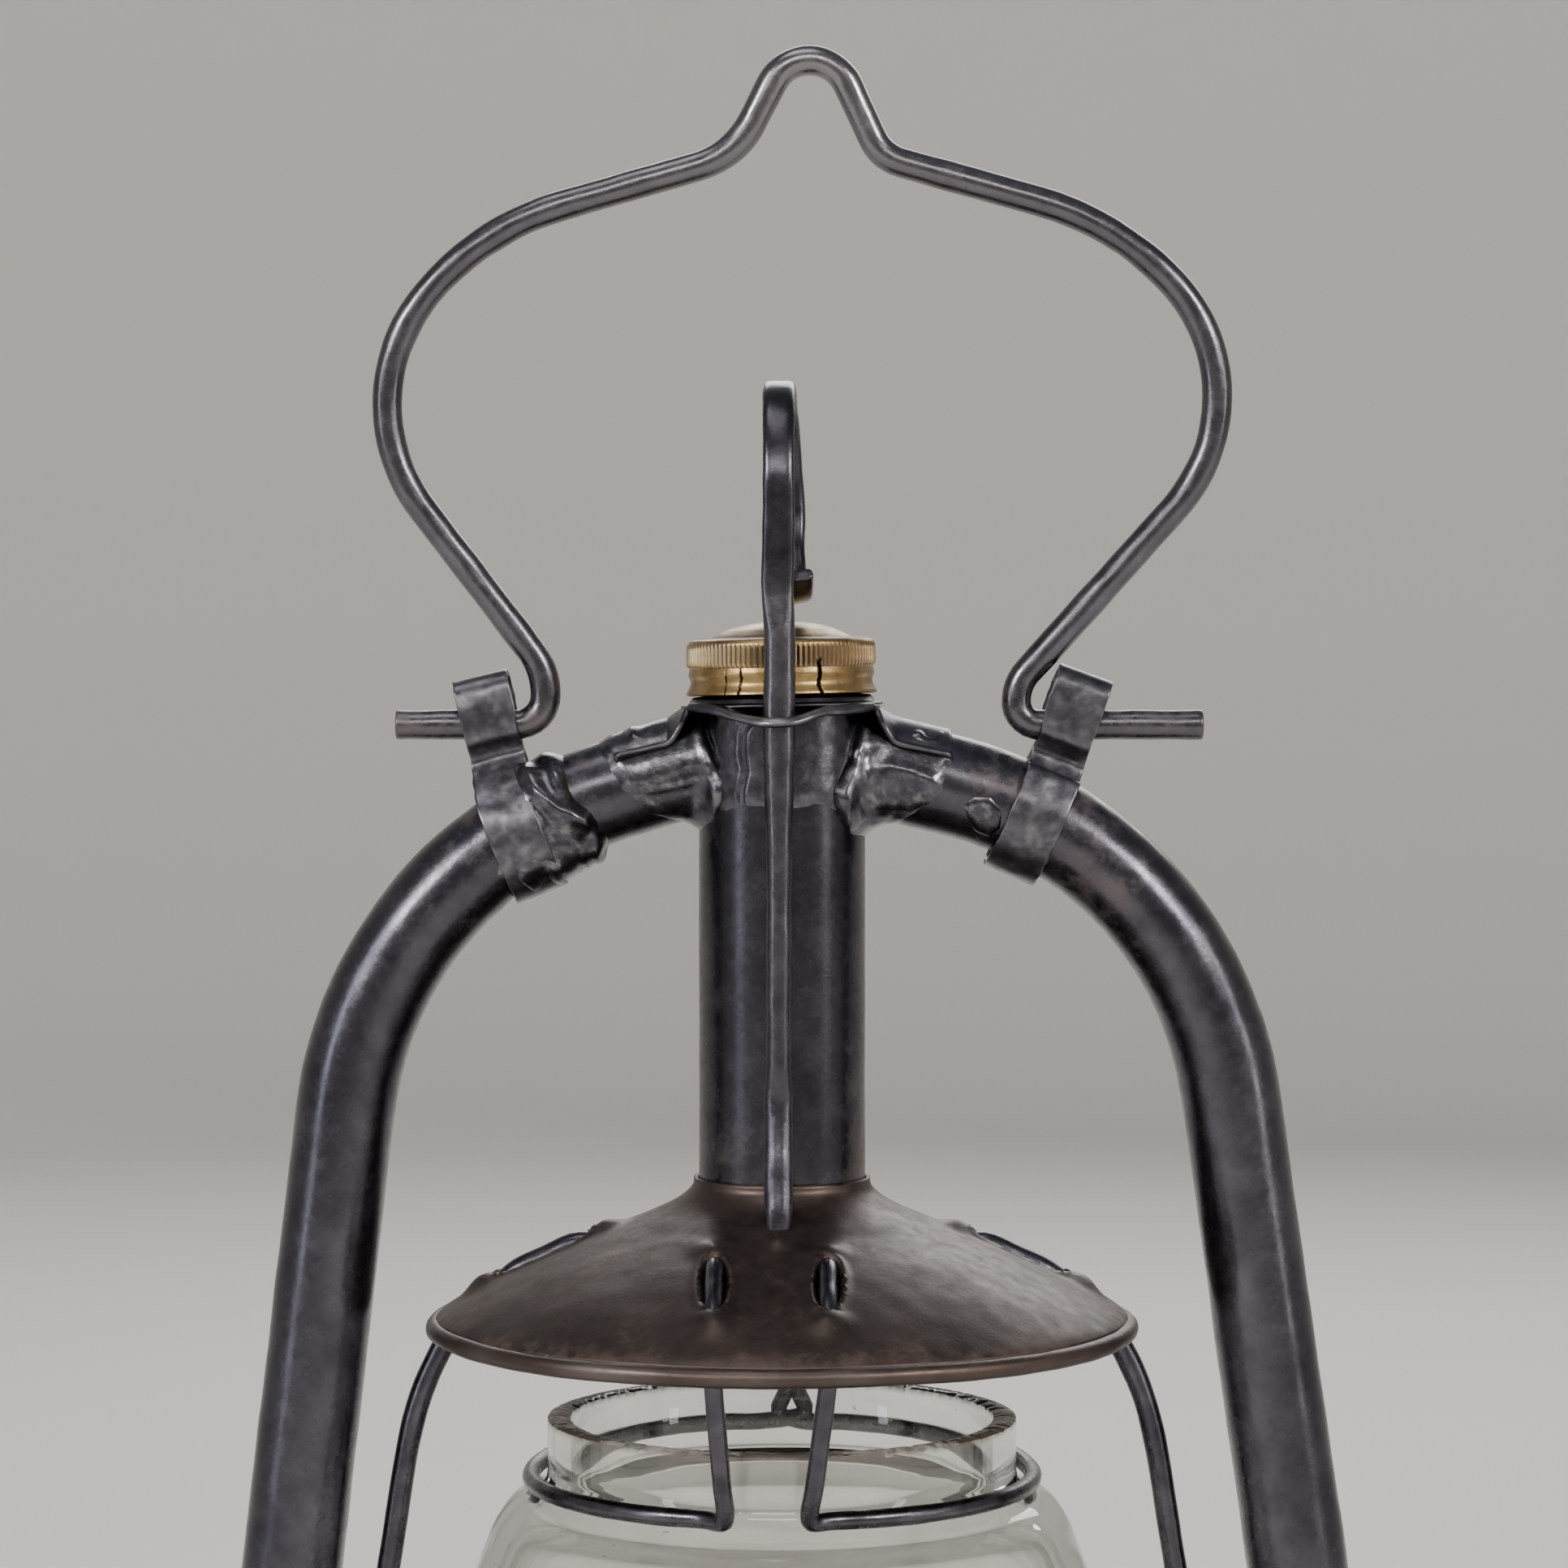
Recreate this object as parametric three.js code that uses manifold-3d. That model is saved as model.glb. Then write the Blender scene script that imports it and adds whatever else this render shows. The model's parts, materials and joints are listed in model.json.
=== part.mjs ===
// A miner's oil lamp of the tubular kind, made by hand from sheet, tube and wire.
//
// A round oil tank stands on a flat base plate. Two bent side tubes rise from the air chamber on the
// tank to a centre tube at the top. A hood slides on the centre tube. The glass globe hangs under the
// hood in a cage of wires, and a rod with a finger ring lifts hood, cage and globe together off the
// burner. A wire bail swings in two folded straps. Millimetres, +Z up, front towards -Y, and the
// underside of the base plate is at z = 0.

import * as THREE from "three";
import { mergeVertices } from "three/addons/utils/BufferGeometryUtils.js";
import Module from "manifold-3d";

// ---------------------------------------------------------------------------------------------
// Driving dimensions
// ---------------------------------------------------------------------------------------------

const GAP = 0.3; // clearance left between pieces that touch
const SHEET = 0.8; // thickness of the sheet metal

// Oil tank and base
const BASE_RADIUS = 72;
const BASE_FLANGE_TOP = 6;
const TANK_RADIUS = BASE_RADIUS - SHEET - GAP;
const TANK_WALL_TOP = 40;
const TANK_TOP = 50;
const TANK_MOUTH_RADIUS = 25;

// Filler neck and its cap, off the tank's axis
const FILLER_X = 36;
const FILLER_Y = -42;
const FILLER_RADIUS = 9;
const FILLER_BOTTOM = 38;
const FILLER_TOP = 55;

// Air chamber on top of the tank
const CHAMBER_RADIUS = 42;
const CHAMBER_BOTTOM = 52.6;
const CHAMBER_TOP = 74;

// Burner, wick and the shaft that raises the wick
const WICK_WIDTH = 12.7;
const WICK_THICKNESS = 1.6;
const WICK_TOP = 84;
const WICK_BOTTOM = 8;
const SHAFT_Z = 63;
const SHAFT_RADIUS = 1.2;
const SPUR_RADIUS = 3.5;
const SHAFT_X = -(WICK_THICKNESS / 2 + SPUR_RADIUS + GAP);
const KNOB_Y = -58;

// Side tubes: a straight stretch, one bend up to the centre tube and one down to the chamber.
// lean is the angle from upright of the straight stretch, and top the angle of the upper end.
const TUBE_RADIUS = 7.55;
const TUBE_WALL = 0.7;
const WAIST_Z = 180;
const LOWER_BEND_RADIUS = 45;
const LOWER_END_DIP = 12; // degrees below level at which a tube enters the chamber
const LEFT_TUBE = { side: -1, waist: 74.6, lean: 6.78, rise: 74.7, bend: 57.6, top: 73.6, fall: 67 };
const RIGHT_TUBE = { side: 1, waist: 78.57, lean: 8.18, rise: 77.6, bend: 56, top: 76.7, fall: 66 };

// Centre tube and what sits on its top
const CENTRE_RADIUS = 12.5;
const CENTRE_WALL = 0.8;
const CENTRE_BOTTOM = 226;
const CENTRE_TOP = 314.3;
const PLATE_Z = CENTRE_TOP + GAP;
const CAP_TILT = 1.2; // degrees by which the neck and its cap lean to the left
const CAP_RADIUS = 14.4;
const CAP_BOTTOM = 316.9;
const CAP_TOP = 327.8;
const NECK_RADIUS = 10.6;
const NECK_TOP = 323;

// Bail: a wire in two mirrored-looking but unequal halves, given by its corners and bend radii
const BAIL_RADIUS = 2.25;
const PIVOT_Z = 312.3;
const BAIL_CORNERS = [
  { x: -58.0, z: PIVOT_Z },
  { x: -35.5, z: PIVOT_Z, bend: 4.4 },
  { x: -35.5, z: 320.6, bend: 11 },
  { x: -66.4, z: 361.0, bend: 25.8 },
  { x: -45.2, z: 386.6, bend: 41.0 },
  { x: -7.1, z: 397.5, bend: 13.0 },
  { x: 4.4, z: 420.0, bend: 6.4 },
  { x: 14.9, z: 397.3, bend: 7.0 },
  { x: 49.9, z: 387.6, bend: 43.8 },
  { x: 74.5, z: 362.2, bend: 25.1 },
  { x: 35.2, z: 318.4, bend: 6.5 },
  { x: 35.2, z: PIVOT_Z, bend: 3.4 },
  { x: 63.2, z: PIVOT_Z },
];

// Ear straps: strips folded over the bail wire and wrapped round a side tube.
// x and z say where the strap crosses the tube's centre line, reach and wireUp how far its fold and
// the bail wire are above that point, and lean and wrapLean its angle from upright at the fold and
// round the tube.
const STRAP_WIDTH = 8.5;
const LEFT_STRAP = { side: -1, x: 39.5, z: 295.9, reach: 24.6, wireUp: 16.9, lean: 14, wrapLean: 22 };
const RIGHT_STRAP = { side: 1, x: 37.9, z: 298.6, reach: 23.0, wireUp: 14.1, lean: 20, wrapLean: 24 };

// Hood, its rolled rim and the wires threaded through its bridges
const HOOD_SHEET = 0.8;
const HOOD_PROFILE = [ // outer face, from collar to edge
  [13.3, 244.3], [13.4, 243.2], [15.4, 241.2], [21.3, 238.3], [33.7, 233.4], [44.1, 228.5], [51.4, 224.0],
];
const RIM_RADIUS = 52.2;
const RIM_Z = 222;
const RIM_WIRE = 1.25;
const BRIDGE_INNER = 28; // distances from the axis at which a wire comes up through the hood
const BRIDGE_OUTER = 43; // and goes down again

// Wire cage and neck wires
const GUARD_WIRE = 1.75;
const CAGE_RADIUS = 62;
const CAGE_Z = 150;
const CAGE_BASE_RADIUS = 46;
const CAGE_BASE_Z = 78;
const NECK_WIRE = 1.35;
const NECK_RING_RADIUS = 37.8;
const NECK_RING_Z = 201.0;

// Lift rod and its finger ring
const ROD_RADIUS = 2;
const ROD_X = -0.5;
const ROD_Y = -16.8;
const ROD_FOOT_Y = -20;
const RING_BOTTOM = 330;
const RING_TOP = 363.9;

// Globe
const GLASS = 3.2;
const GLOBE_NECK_RADIUS = 35.1;
const GLOBE_TOP = 208.2;
const GLOBE_BOTTOM = 77.6;
const AIR_HOLES = 12;
const AIR_HOLE_CIRCLE = 29;
const AIR_HOLE_RADIUS = 2.6;

// ---------------------------------------------------------------------------------------------
// Helpers
// ---------------------------------------------------------------------------------------------

const wasm = await Module();
wasm.setup();

const lamp = new THREE.Group();
const rad = THREE.MathUtils.degToRad;
const point = (x, y, z) => new THREE.Vector3(x, y, z);

const STEEL = { color: 0x4b4d55, roughness: 0.42, metalness: 0.9 };
const HOOD_STEEL = { color: 0x47403d, roughness: 0.6, metalness: 0.8 };
const BRASS = { color: 0x8f7746, roughness: 0.4, metalness: 1 };
const CLEAR_GLASS = { color: 0xd8dcd6, roughness: 0.08, metalness: 0, transparent: true, opacity: 0.3 };
const LEATHER = { color: 0x4a3527, roughness: 0.8, metalness: 0 };
const COTTON = { color: 0xd9d0bb, roughness: 0.95, metalness: 0 };

// One closed body with its shared points merged and its faces pointing out.
function closed(geometry) {
  const bare = geometry.clone();
  bare.deleteAttribute("normal");
  bare.deleteAttribute("uv");
  const merged = mergeVertices(bare, 1e-4);
  const at = merged.attributes.position;
  const index = merged.index.array;
  const [a, b, c] = [new THREE.Vector3(), new THREE.Vector3(), new THREE.Vector3()];
  const kept = [];
  let volume = 0;
  for (let i = 0; i < index.length; i += 3) {
    const [p, q, r] = [index[i], index[i + 1], index[i + 2]];
    if (p === q || q === r || r === p) continue; // a face that closed up on the axis
    kept.push(p, q, r);
    a.fromBufferAttribute(at, p);
    b.fromBufferAttribute(at, q);
    c.fromBufferAttribute(at, r);
    volume += a.dot(b.cross(c));
  }
  if (volume < 0) kept.reverse();
  merged.setIndex(kept);
  return merged;
}

function solid(geometry) {
  const body = closed(geometry);
  return new wasm.Manifold(new wasm.Mesh({
    numProp: 3,
    vertProperties: new Float32Array(body.attributes.position.array),
    triVerts: new Uint32Array(body.index.array),
  }));
}

function shapeOf(manifold) {
  const mesh = manifold.getMesh();
  const geometry = new THREE.BufferGeometry();
  geometry.setAttribute("position", new THREE.BufferAttribute(new Float32Array(mesh.vertProperties), 3));
  geometry.setIndex(Array.from(mesh.triVerts));
  return geometry;
}

const cut = (body, ...tools) => shapeOf(tools.reduce((m, tool) => m.subtract(solid(tool)), solid(body)));
const join = (body, ...others) => shapeOf(others.reduce((m, other) => m.add(solid(other)), solid(body)));

function add(name, finish, geometry) {
  const mesh = new THREE.Mesh(closed(geometry), new THREE.MeshStandardMaterial(finish));
  mesh.name = name;
  lamp.add(mesh);
}

// A turned shape about +Z from [radius, z] points. A hollow one is a ring of points.
function turned(profile, sides = 40, hollow = true) {
  const points = profile.map(([r, z]) => new THREE.Vector2(r, z));
  if (hollow) points.push(points[0].clone());
  return new THREE.LatheGeometry(points, sides).rotateX(Math.PI / 2);
}

// A wall of even thickness behind an outer [radius, z] outline, thickness to the right of its way.
function shelled(outline, thickness) {
  const inner = outline.map(([r, z], i) => {
    const [r0, z0] = outline[Math.max(i - 1, 0)];
    const [r1, z1] = outline[Math.min(i + 1, outline.length - 1)];
    const long = Math.hypot(r1 - r0, z1 - z0);
    return [r + thickness * (z1 - z0) / long, z - thickness * (r1 - r0) / long];
  });
  return [...outline, ...inner.reverse()];
}

function rod(from, to, radius, sides = 16) {
  const along = to.clone().sub(from);
  const geometry = new THREE.CylinderGeometry(radius, radius, along.length(), sides);
  geometry.applyQuaternion(new THREE.Quaternion().setFromUnitVectors(point(0, 1, 0), along.clone().normalize()));
  return geometry.translate(...from.clone().add(to).multiplyScalar(0.5).toArray());
}

// A path with one point wherever its direction changes, so that long straights cost nothing.
class BentPath extends THREE.Curve {
  constructor(points, ways) {
    super();
    this.points = points;
    this.ways = ways;
  }

  getPointAt(u) {
    return this.points[Math.round(u * (this.points.length - 1))].clone();
  }

  getTangentAt(u) {
    return this.ways[Math.round(u * (this.points.length - 1))].clone();
  }
}

// Corners {at, bend} joined by straights, with each inner corner rounded to its bend radius.
function bentPath(corners, turn = 14) {
  const points = [];
  const ways = [];
  const push = (p, way) => {
    if (points.length && points.at(-1).distanceTo(p) < 1e-3) return;
    points.push(p);
    ways.push(way);
  };
  corners.forEach(({ at, bend = 0 }, i) => {
    const before = i && at.clone().sub(corners[i - 1].at).normalize();
    const after = i < corners.length - 1 && corners[i + 1].at.clone().sub(at).normalize();
    if (!before || !after) {
      push(at.clone(), (after || before).clone());
      return;
    }
    const angle = before.angleTo(after);
    const steps = Math.max(1, Math.ceil(THREE.MathUtils.radToDeg(angle) / turn));
    const start = at.clone().addScaledVector(before, -bend * Math.tan(angle / 2));
    const axis = before.clone().cross(after).normalize();
    const inward = axis.clone().cross(before);
    const centre = start.clone().addScaledVector(inward, bend);
    for (let k = 0; k <= steps; k += 1) {
      const swing = (angle * k) / steps;
      const arm = start.clone().sub(centre).applyAxisAngle(axis, swing);
      push(centre.clone().add(arm), before.clone().applyAxisAngle(axis, swing));
    }
  });
  return new BentPath(points, ways);
}

// A path through given points, each point's way being that of its neighbours.
function pathThrough(points) {
  const ways = points.map((p, i) => {
    const from = points[Math.max(i - 1, 0)];
    const to = points[Math.min(i + 1, points.length - 1)];
    return to.clone().sub(from).normalize();
  });
  return new BentPath(points, ways);
}

function circle(radius, sides) {
  const shape = new THREE.Shape();
  for (let i = 0; i < sides; i += 1) {
    const angle = (2 * Math.PI * i) / sides;
    shape[i ? "lineTo" : "moveTo"](radius * Math.cos(angle), radius * Math.sin(angle));
  }
  return shape;
}

function swept(path, shape) {
  return new THREE.ExtrudeGeometry(shape, { extrudePath: path, steps: path.points.length - 1, curveSegments: 1 });
}

const wire = (path, radius, sides = 8) => swept(path, circle(radius, sides));

function pipe(path, radius, wall, sides) {
  const shape = circle(radius, sides);
  shape.holes.push(circle(radius - wall, sides));
  return swept(path, shape);
}

// ---------------------------------------------------------------------------------------------
// Tank and base
// ---------------------------------------------------------------------------------------------

function basePlate() {
  const rim = BASE_RADIUS - 1.5;
  return turned([
    [0, 0], [rim, 0], [BASE_RADIUS - 0.4, 0.5], [BASE_RADIUS, 1.6], [BASE_RADIUS, BASE_FLANGE_TOP],
    [BASE_RADIUS - SHEET, BASE_FLANGE_TOP], [BASE_RADIUS - SHEET, 1.5], [0, 1.5],
  ], 28, false);
}

// The tank's wall and shoulder in one drawn sheet, open below to the base plate and above to the burner.
const TANK_OUTLINE = [
  [TANK_RADIUS, 1.8], [TANK_RADIUS, TANK_WALL_TOP], [TANK_RADIUS - 1.6, TANK_WALL_TOP + 3],
  [TANK_RADIUS - 6, TANK_WALL_TOP + 5.2], [48, 48], [33, TANK_TOP - 0.4], [TANK_MOUTH_RADIUS, TANK_TOP],
];

function tankShell() {
  const wall = turned(shelled(TANK_OUTLINE, -SHEET), 28);
  const hole = rod(point(FILLER_X, FILLER_Y, FILLER_BOTTOM - 5), point(FILLER_X, FILLER_Y, 60), FILLER_RADIUS + GAP, 24);
  return cut(wall, hole);
}

function fillerNeck() {
  const r = FILLER_RADIUS;
  return turned([
    [r, FILLER_BOTTOM], [r, FILLER_TOP - 1], [r - 0.3, FILLER_TOP], [r - 1, FILLER_TOP], [r - 1, FILLER_BOTTOM],
  ], 24).translate(FILLER_X, FILLER_Y, 0);
}

function burnerCollar() {
  const r = TANK_MOUTH_RADIUS - GAP;
  return turned([
    [r, 47], [r, TANK_TOP + GAP], [r + 3, TANK_TOP + GAP], [r + 3, TANK_TOP + 1.3], [19, TANK_TOP + 1.3], [19, 47],
  ], 24);
}

// The chamber is a drum with a floor and a turned-in top edge; its mouth takes the globe plate.
function airChamber() {
  const drum = turned([
    [15.5, CHAMBER_BOTTOM], [CHAMBER_RADIUS, CHAMBER_BOTTOM], [CHAMBER_RADIUS, CHAMBER_TOP],
    [CHAMBER_RADIUS - 6, CHAMBER_TOP], [CHAMBER_RADIUS - 6, CHAMBER_TOP - SHEET],
    [CHAMBER_RADIUS - SHEET, CHAMBER_TOP - SHEET], [CHAMBER_RADIUS - SHEET, CHAMBER_BOTTOM + SHEET],
    [15.5, CHAMBER_BOTTOM + SHEET],
  ], 28);
  const ports = [LEFT_TUBE, RIGHT_TUBE].map((tube) => {
    const { end, way } = lowerEnd(tube);
    return rod(end.clone().addScaledVector(way, -12), end.clone().addScaledVector(way, 8), TUBE_RADIUS - TUBE_WALL);
  });
  const shaftHole = rod(point(SHAFT_X, -CHAMBER_RADIUS - 5, SHAFT_Z), point(SHAFT_X, -30, SHAFT_Z), 3 + GAP);
  return cut(drum, ...ports, shaftHole);
}

// ---------------------------------------------------------------------------------------------
// Side tubes and centre tube
// ---------------------------------------------------------------------------------------------

// The corner points of a side tube's centre line, from the chamber up to the centre tube.
function tubeCorners({ side, waist, lean, rise, bend, top, fall }) {
  const up = point(-Math.sin(rad(lean)), 0, Math.cos(rad(lean)));
  const inward = point(-Math.sin(rad(top)), 0, Math.cos(rad(top)));
  const level = point(-Math.cos(rad(LOWER_END_DIP)), 0, -Math.sin(rad(LOWER_END_DIP)));
  const upperCorner = rise + bend * Math.tan(rad(top - lean) / 2);
  const lowerTurn = 90 - LOWER_END_DIP + lean;
  const lowerCorner = fall + LOWER_BEND_RADIUS * Math.tan(rad(lowerTurn) / 2);
  const at = point(waist, 0, WAIST_Z);
  const upper = at.clone().addScaledVector(up, upperCorner);
  const lower = at.clone().addScaledVector(up, -lowerCorner);
  const corners = [
    { at: lower.clone().addScaledVector(level, (lower.x - 30) / Math.cos(rad(LOWER_END_DIP))) },
    { at: lower, bend: LOWER_BEND_RADIUS },
    { at: upper, bend },
    { at: upper.clone().addScaledVector(inward, upper.x / Math.sin(rad(top))) },
  ];
  return corners.map((corner) => ({ ...corner, at: point(side * corner.at.x, 0, corner.at.z) }));
}

// Where a side tube's centre line meets the chamber wall, and the way it runs there.
function lowerEnd(tube) {
  const [inner, lower] = tubeCorners(tube);
  const way = lower.at.clone().sub(inner.at).normalize();
  const end = inner.at.clone().addScaledVector(way, (CHAMBER_RADIUS - Math.abs(inner.at.x)) / Math.abs(way.x));
  return { end, way };
}

function sideTube(tube) {
  const hollow = pipe(bentPath(tubeCorners(tube), 14), TUBE_RADIUS, TUBE_WALL, 12);
  const centre = rod(point(0, 0, 250), point(0, 0, 340), CENTRE_RADIUS + GAP, 28);
  const chamber = rod(point(0, 0, 20), point(0, 0, 110), CHAMBER_RADIUS + GAP, 28);
  return cut(hollow, centre, chamber);
}

function centreTube() {
  const tube = turned([
    [CENTRE_RADIUS, CENTRE_BOTTOM], [CENTRE_RADIUS, CENTRE_TOP],
    [CENTRE_RADIUS - CENTRE_WALL, CENTRE_TOP], [CENTRE_RADIUS - CENTRE_WALL, CENTRE_BOTTOM],
  ], 28);
  const ports = [LEFT_TUBE, RIGHT_TUBE].map((side) => {
    const [last, previous] = tubeCorners(side).reverse().map((corner) => corner.at);
    const way = previous.clone().sub(last).normalize();
    return rod(last.clone().addScaledVector(way, 4), last.clone().addScaledVector(way, 22), TUBE_RADIUS - 1.2);
  });
  return cut(tube, ...ports);
}

// A sheet patch soldered round the end of a side tube, cut to the centre tube.
function jointSaddle(tube) {
  const [end, corner] = tubeCorners(tube).reverse().map((c) => c.at);
  const way = corner.clone().sub(end).normalize();
  const path = pathThrough([10, 15, 19, 23.5].map((far) => end.clone().addScaledVector(way, far)));
  const sleeve = pipe(path, TUBE_RADIUS + GAP + SHEET, SHEET, 12);
  const underPlate = new THREE.BoxGeometry(90, 40, 10).translate(0, 0, PLATE_Z - GAP + 5);
  return cut(sleeve, rod(point(0, 0, 280), point(0, 0, 340), CENTRE_RADIUS + GAP, 28), underPlate);
}

// A thin plate across the top of the centre tube; its front lip dips and guides the lift rod.
function guidePlate() {
  const outline = new THREE.Shape();
  outline.moveTo(-16.2, 2);
  outline.quadraticCurveTo(-14.5, 11, 0, 13.8);
  outline.quadraticCurveTo(14.5, 11, 16.4, 2);
  outline.quadraticCurveTo(17, -6, 9.5, -11);
  outline.quadraticCurveTo(6, ROD_Y - 4.2, ROD_X, ROD_Y - 4.4);
  outline.quadraticCurveTo(-7, ROD_Y - 4.2, -9.5, -11);
  outline.quadraticCurveTo(-17, -6, -16.2, 2);
  const plate = new THREE.ExtrudeGeometry(outline, { depth: SHEET, bevelEnabled: false, curveSegments: 6 });
  plate.translate(0, 0, PLATE_Z);
  const neckHole = rod(point(0, 0, PLATE_Z - 4), point(0, 0, PLATE_Z + 4), NECK_RADIUS + GAP + 0.1, 32);
  const rodHole = rod(point(ROD_X, ROD_Y, PLATE_Z - 4), point(ROD_X, ROD_Y, PLATE_Z + 4), ROD_RADIUS + GAP, 16);
  return cut(plate, neckHole, rodHole);
}

// The neck, its washer and its cap lean together about a point on the plate.
const leaning = (geometry) => geometry.translate(0, 0, -PLATE_Z).rotateY(rad(-CAP_TILT)).translate(0, 0, PLATE_Z);

function capNeck() {
  const r = NECK_RADIUS;
  const flange = PLATE_Z + SHEET + GAP + 0.3;
  return leaning(turned([
    [r, 307], [r, flange], [13.4, flange], [13.4, flange + 0.5], [r, flange + 0.5], [r, NECK_TOP],
    [r - 1, NECK_TOP], [r - 1, 307],
  ], 24));
}

function capWasher() {
  return leaning(turned([
    [CAP_RADIUS - 3, NECK_TOP + GAP], [CAP_RADIUS - 3, NECK_TOP + 1.2], [5, NECK_TOP + 1.2], [5, NECK_TOP + GAP],
  ], 24));
}

function brassCap() {
  const r = CAP_RADIUS;
  const inside = NECK_RADIUS + GAP + 0.6;
  return leaning(turned([
    [r - 0.9, CAP_BOTTOM], [r, CAP_BOTTOM + 0.1], [r - 0.3, CAP_BOTTOM + 1], [r - 0.9, CAP_BOTTOM + 2],
    [r - 0.5, CAP_BOTTOM + 3.1], [r - 0.9, CAP_BOTTOM + 3.8], [r - 0.2, CAP_BOTTOM + 4.3], [r - 0.2, CAP_BOTTOM + 7.2],
    [r - 1.1, CAP_BOTTOM + 7.9], [10.6, CAP_BOTTOM + 8.3], [8.5, CAP_TOP - 1.1], [4.5, CAP_TOP - 0.25], [0, CAP_TOP],
    [0, CAP_TOP - 0.9], [8, CAP_TOP - 2.1], [CAP_RADIUS - 2.6, NECK_TOP + 1.5], [CAP_RADIUS - 2.6, NECK_TOP - 1],
    [inside, NECK_TOP - 2.5], [inside, CAP_BOTTOM],
  ], 24));
}

// ---------------------------------------------------------------------------------------------
// Bail and its straps
// ---------------------------------------------------------------------------------------------

function bail() {
  const corners = BAIL_CORNERS.map(({ x, z, bend }) => ({ at: point(x, 0, z), bend }));
  return wire(bentPath(corners, 17), BAIL_RADIUS, 8);
}

// Half of the strap's centre line seen along the tube, as [out from the middle, up from the tube].
function strapOutline({ reach, wireUp }) {
  const round = TUBE_RADIUS + GAP + SHEET / 2 + 0.25;
  const long = round + 1.3;
  const wrap = [5, 25, 48, 72, 96, 120, 142].map((angle) => [
    round * Math.sin(rad(angle)), -long * Math.cos(rad(angle)),
  ]);
  const slot = BAIL_RADIUS + GAP + SHEET / 2 + 0.25;
  const crown = reach - SHEET / 2 - slot;
  const fold = [30, 60, 90].map((angle) => [
    slot * Math.cos(rad(angle)), crown + slot * Math.sin(rad(angle)),
  ]);
  return [
    ...wrap, [2.4, wireUp - 6.1], [0.75, wireUp - 5], [0.75, wireUp - 4.6], [slot - 0.5, wireUp - 2.6],
    [slot, wireUp - 1], [slot, crown], ...fold,
  ];
}

// The strip leans with the wrap round the tube and turns to its upper lean above it.
function earStrap(strap) {
  const { side, x, z, lean, wrapLean } = strap;
  const half = strapOutline(strap);
  const line = [...half, ...half.slice(0, -1).reverse().map(([out, up]) => [-out, up])];
  const angleAt = (up) => rad(THREE.MathUtils.lerp(wrapLean, lean, THREE.MathUtils.smoothstep(up, 2, 14)));
  const rows = line.map(([out, up], i) => {
    const [out0, up0] = line[Math.max(i - 1, 0)];
    const [out1, up1] = line[Math.min(i + 1, line.length - 1)];
    const long = Math.hypot(out1 - out0, up1 - up0);
    const across = [(up1 - up0) / long, -(out1 - out0) / long];
    return [1, -1].map((face) => {
      const o = out + (face * SHEET * across[0]) / 2;
      const u = up + (face * SHEET * across[1]) / 2;
      return { o, u, angle: angleAt(u) };
    });
  });
  const ring = [...rows.map((row) => row[0]), ...rows.map((row) => row[1]).reverse()];
  const outline = new THREE.Shape(ring.map(({ o, u }) => new THREE.Vector2(o, u)));
  const strip = new THREE.ExtrudeGeometry(outline, { depth: STRAP_WIDTH, bevelEnabled: false });
  strip.translate(0, 0, -STRAP_WIDTH / 2);
  const at = strip.attributes.position;
  for (let i = 0; i < at.count; i += 1) {
    const angle = angleAt(at.getY(i));
    const up = point(side * Math.sin(angle), 0, Math.cos(angle));
    const along = point(side * Math.cos(angle), 0, -Math.sin(angle));
    const p = point(side * x, at.getX(i), z).addScaledVector(up, at.getY(i)).addScaledVector(along, side * at.getZ(i));
    at.setXYZ(i, p.x, p.y, p.z);
  }
  return strip;
}

// ---------------------------------------------------------------------------------------------
// Hood, wires and lift rod
// ---------------------------------------------------------------------------------------------

// Height of the hood's outer face at a distance from the axis.
function hoodHeight(radius) {
  const next = HOOD_PROFILE.findIndex(([r]) => r >= radius);
  const [[r0, z0], [r1, z1]] = [HOOD_PROFILE[next - 1], HOOD_PROFILE[next]];
  return z0 + ((z1 - z0) * (radius - r0)) / (r1 - r0);
}

// [distance from the axis, height] stations of a wire that is threaded through the hood to its rim.
function threaded(radius) {
  const over = (r) => [r, hoodHeight(r) + (radius + GAP) / Math.cos(rad(24))];
  const under = (r) => [r, hoodHeight(r) - (HOOD_SHEET + radius + GAP) / Math.cos(rad(24))];
  return [
    under(BRIDGE_INNER - 5), under(BRIDGE_INNER - 2.5), over(BRIDGE_INNER + 2.5), over(BRIDGE_OUTER - 3),
    under(BRIDGE_OUTER + 2.5), [RIM_RADIUS - RIM_WIRE - GAP - radius - 0.6, RIM_Z + 0.4],
  ];
}

function guardWirePath(side) {
  const stations = [
    ...threaded(GUARD_WIRE), [52.2, 216.6], [55.3, 208.5], [58.7, 189.5], [CAGE_RADIUS - 0.6, 170],
    [CAGE_RADIUS, CAGE_Z], [CAGE_RADIUS - 1.8, 126], [CAGE_RADIUS - 6.4, 103], [CAGE_BASE_RADIUS + 4.6, 88],
    [CAGE_BASE_RADIUS + 3.5, CAGE_BASE_Z - 1],
  ];
  return pathThrough(stations.map(([r, z]) => point(side * r, 0, z)));
}

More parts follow.
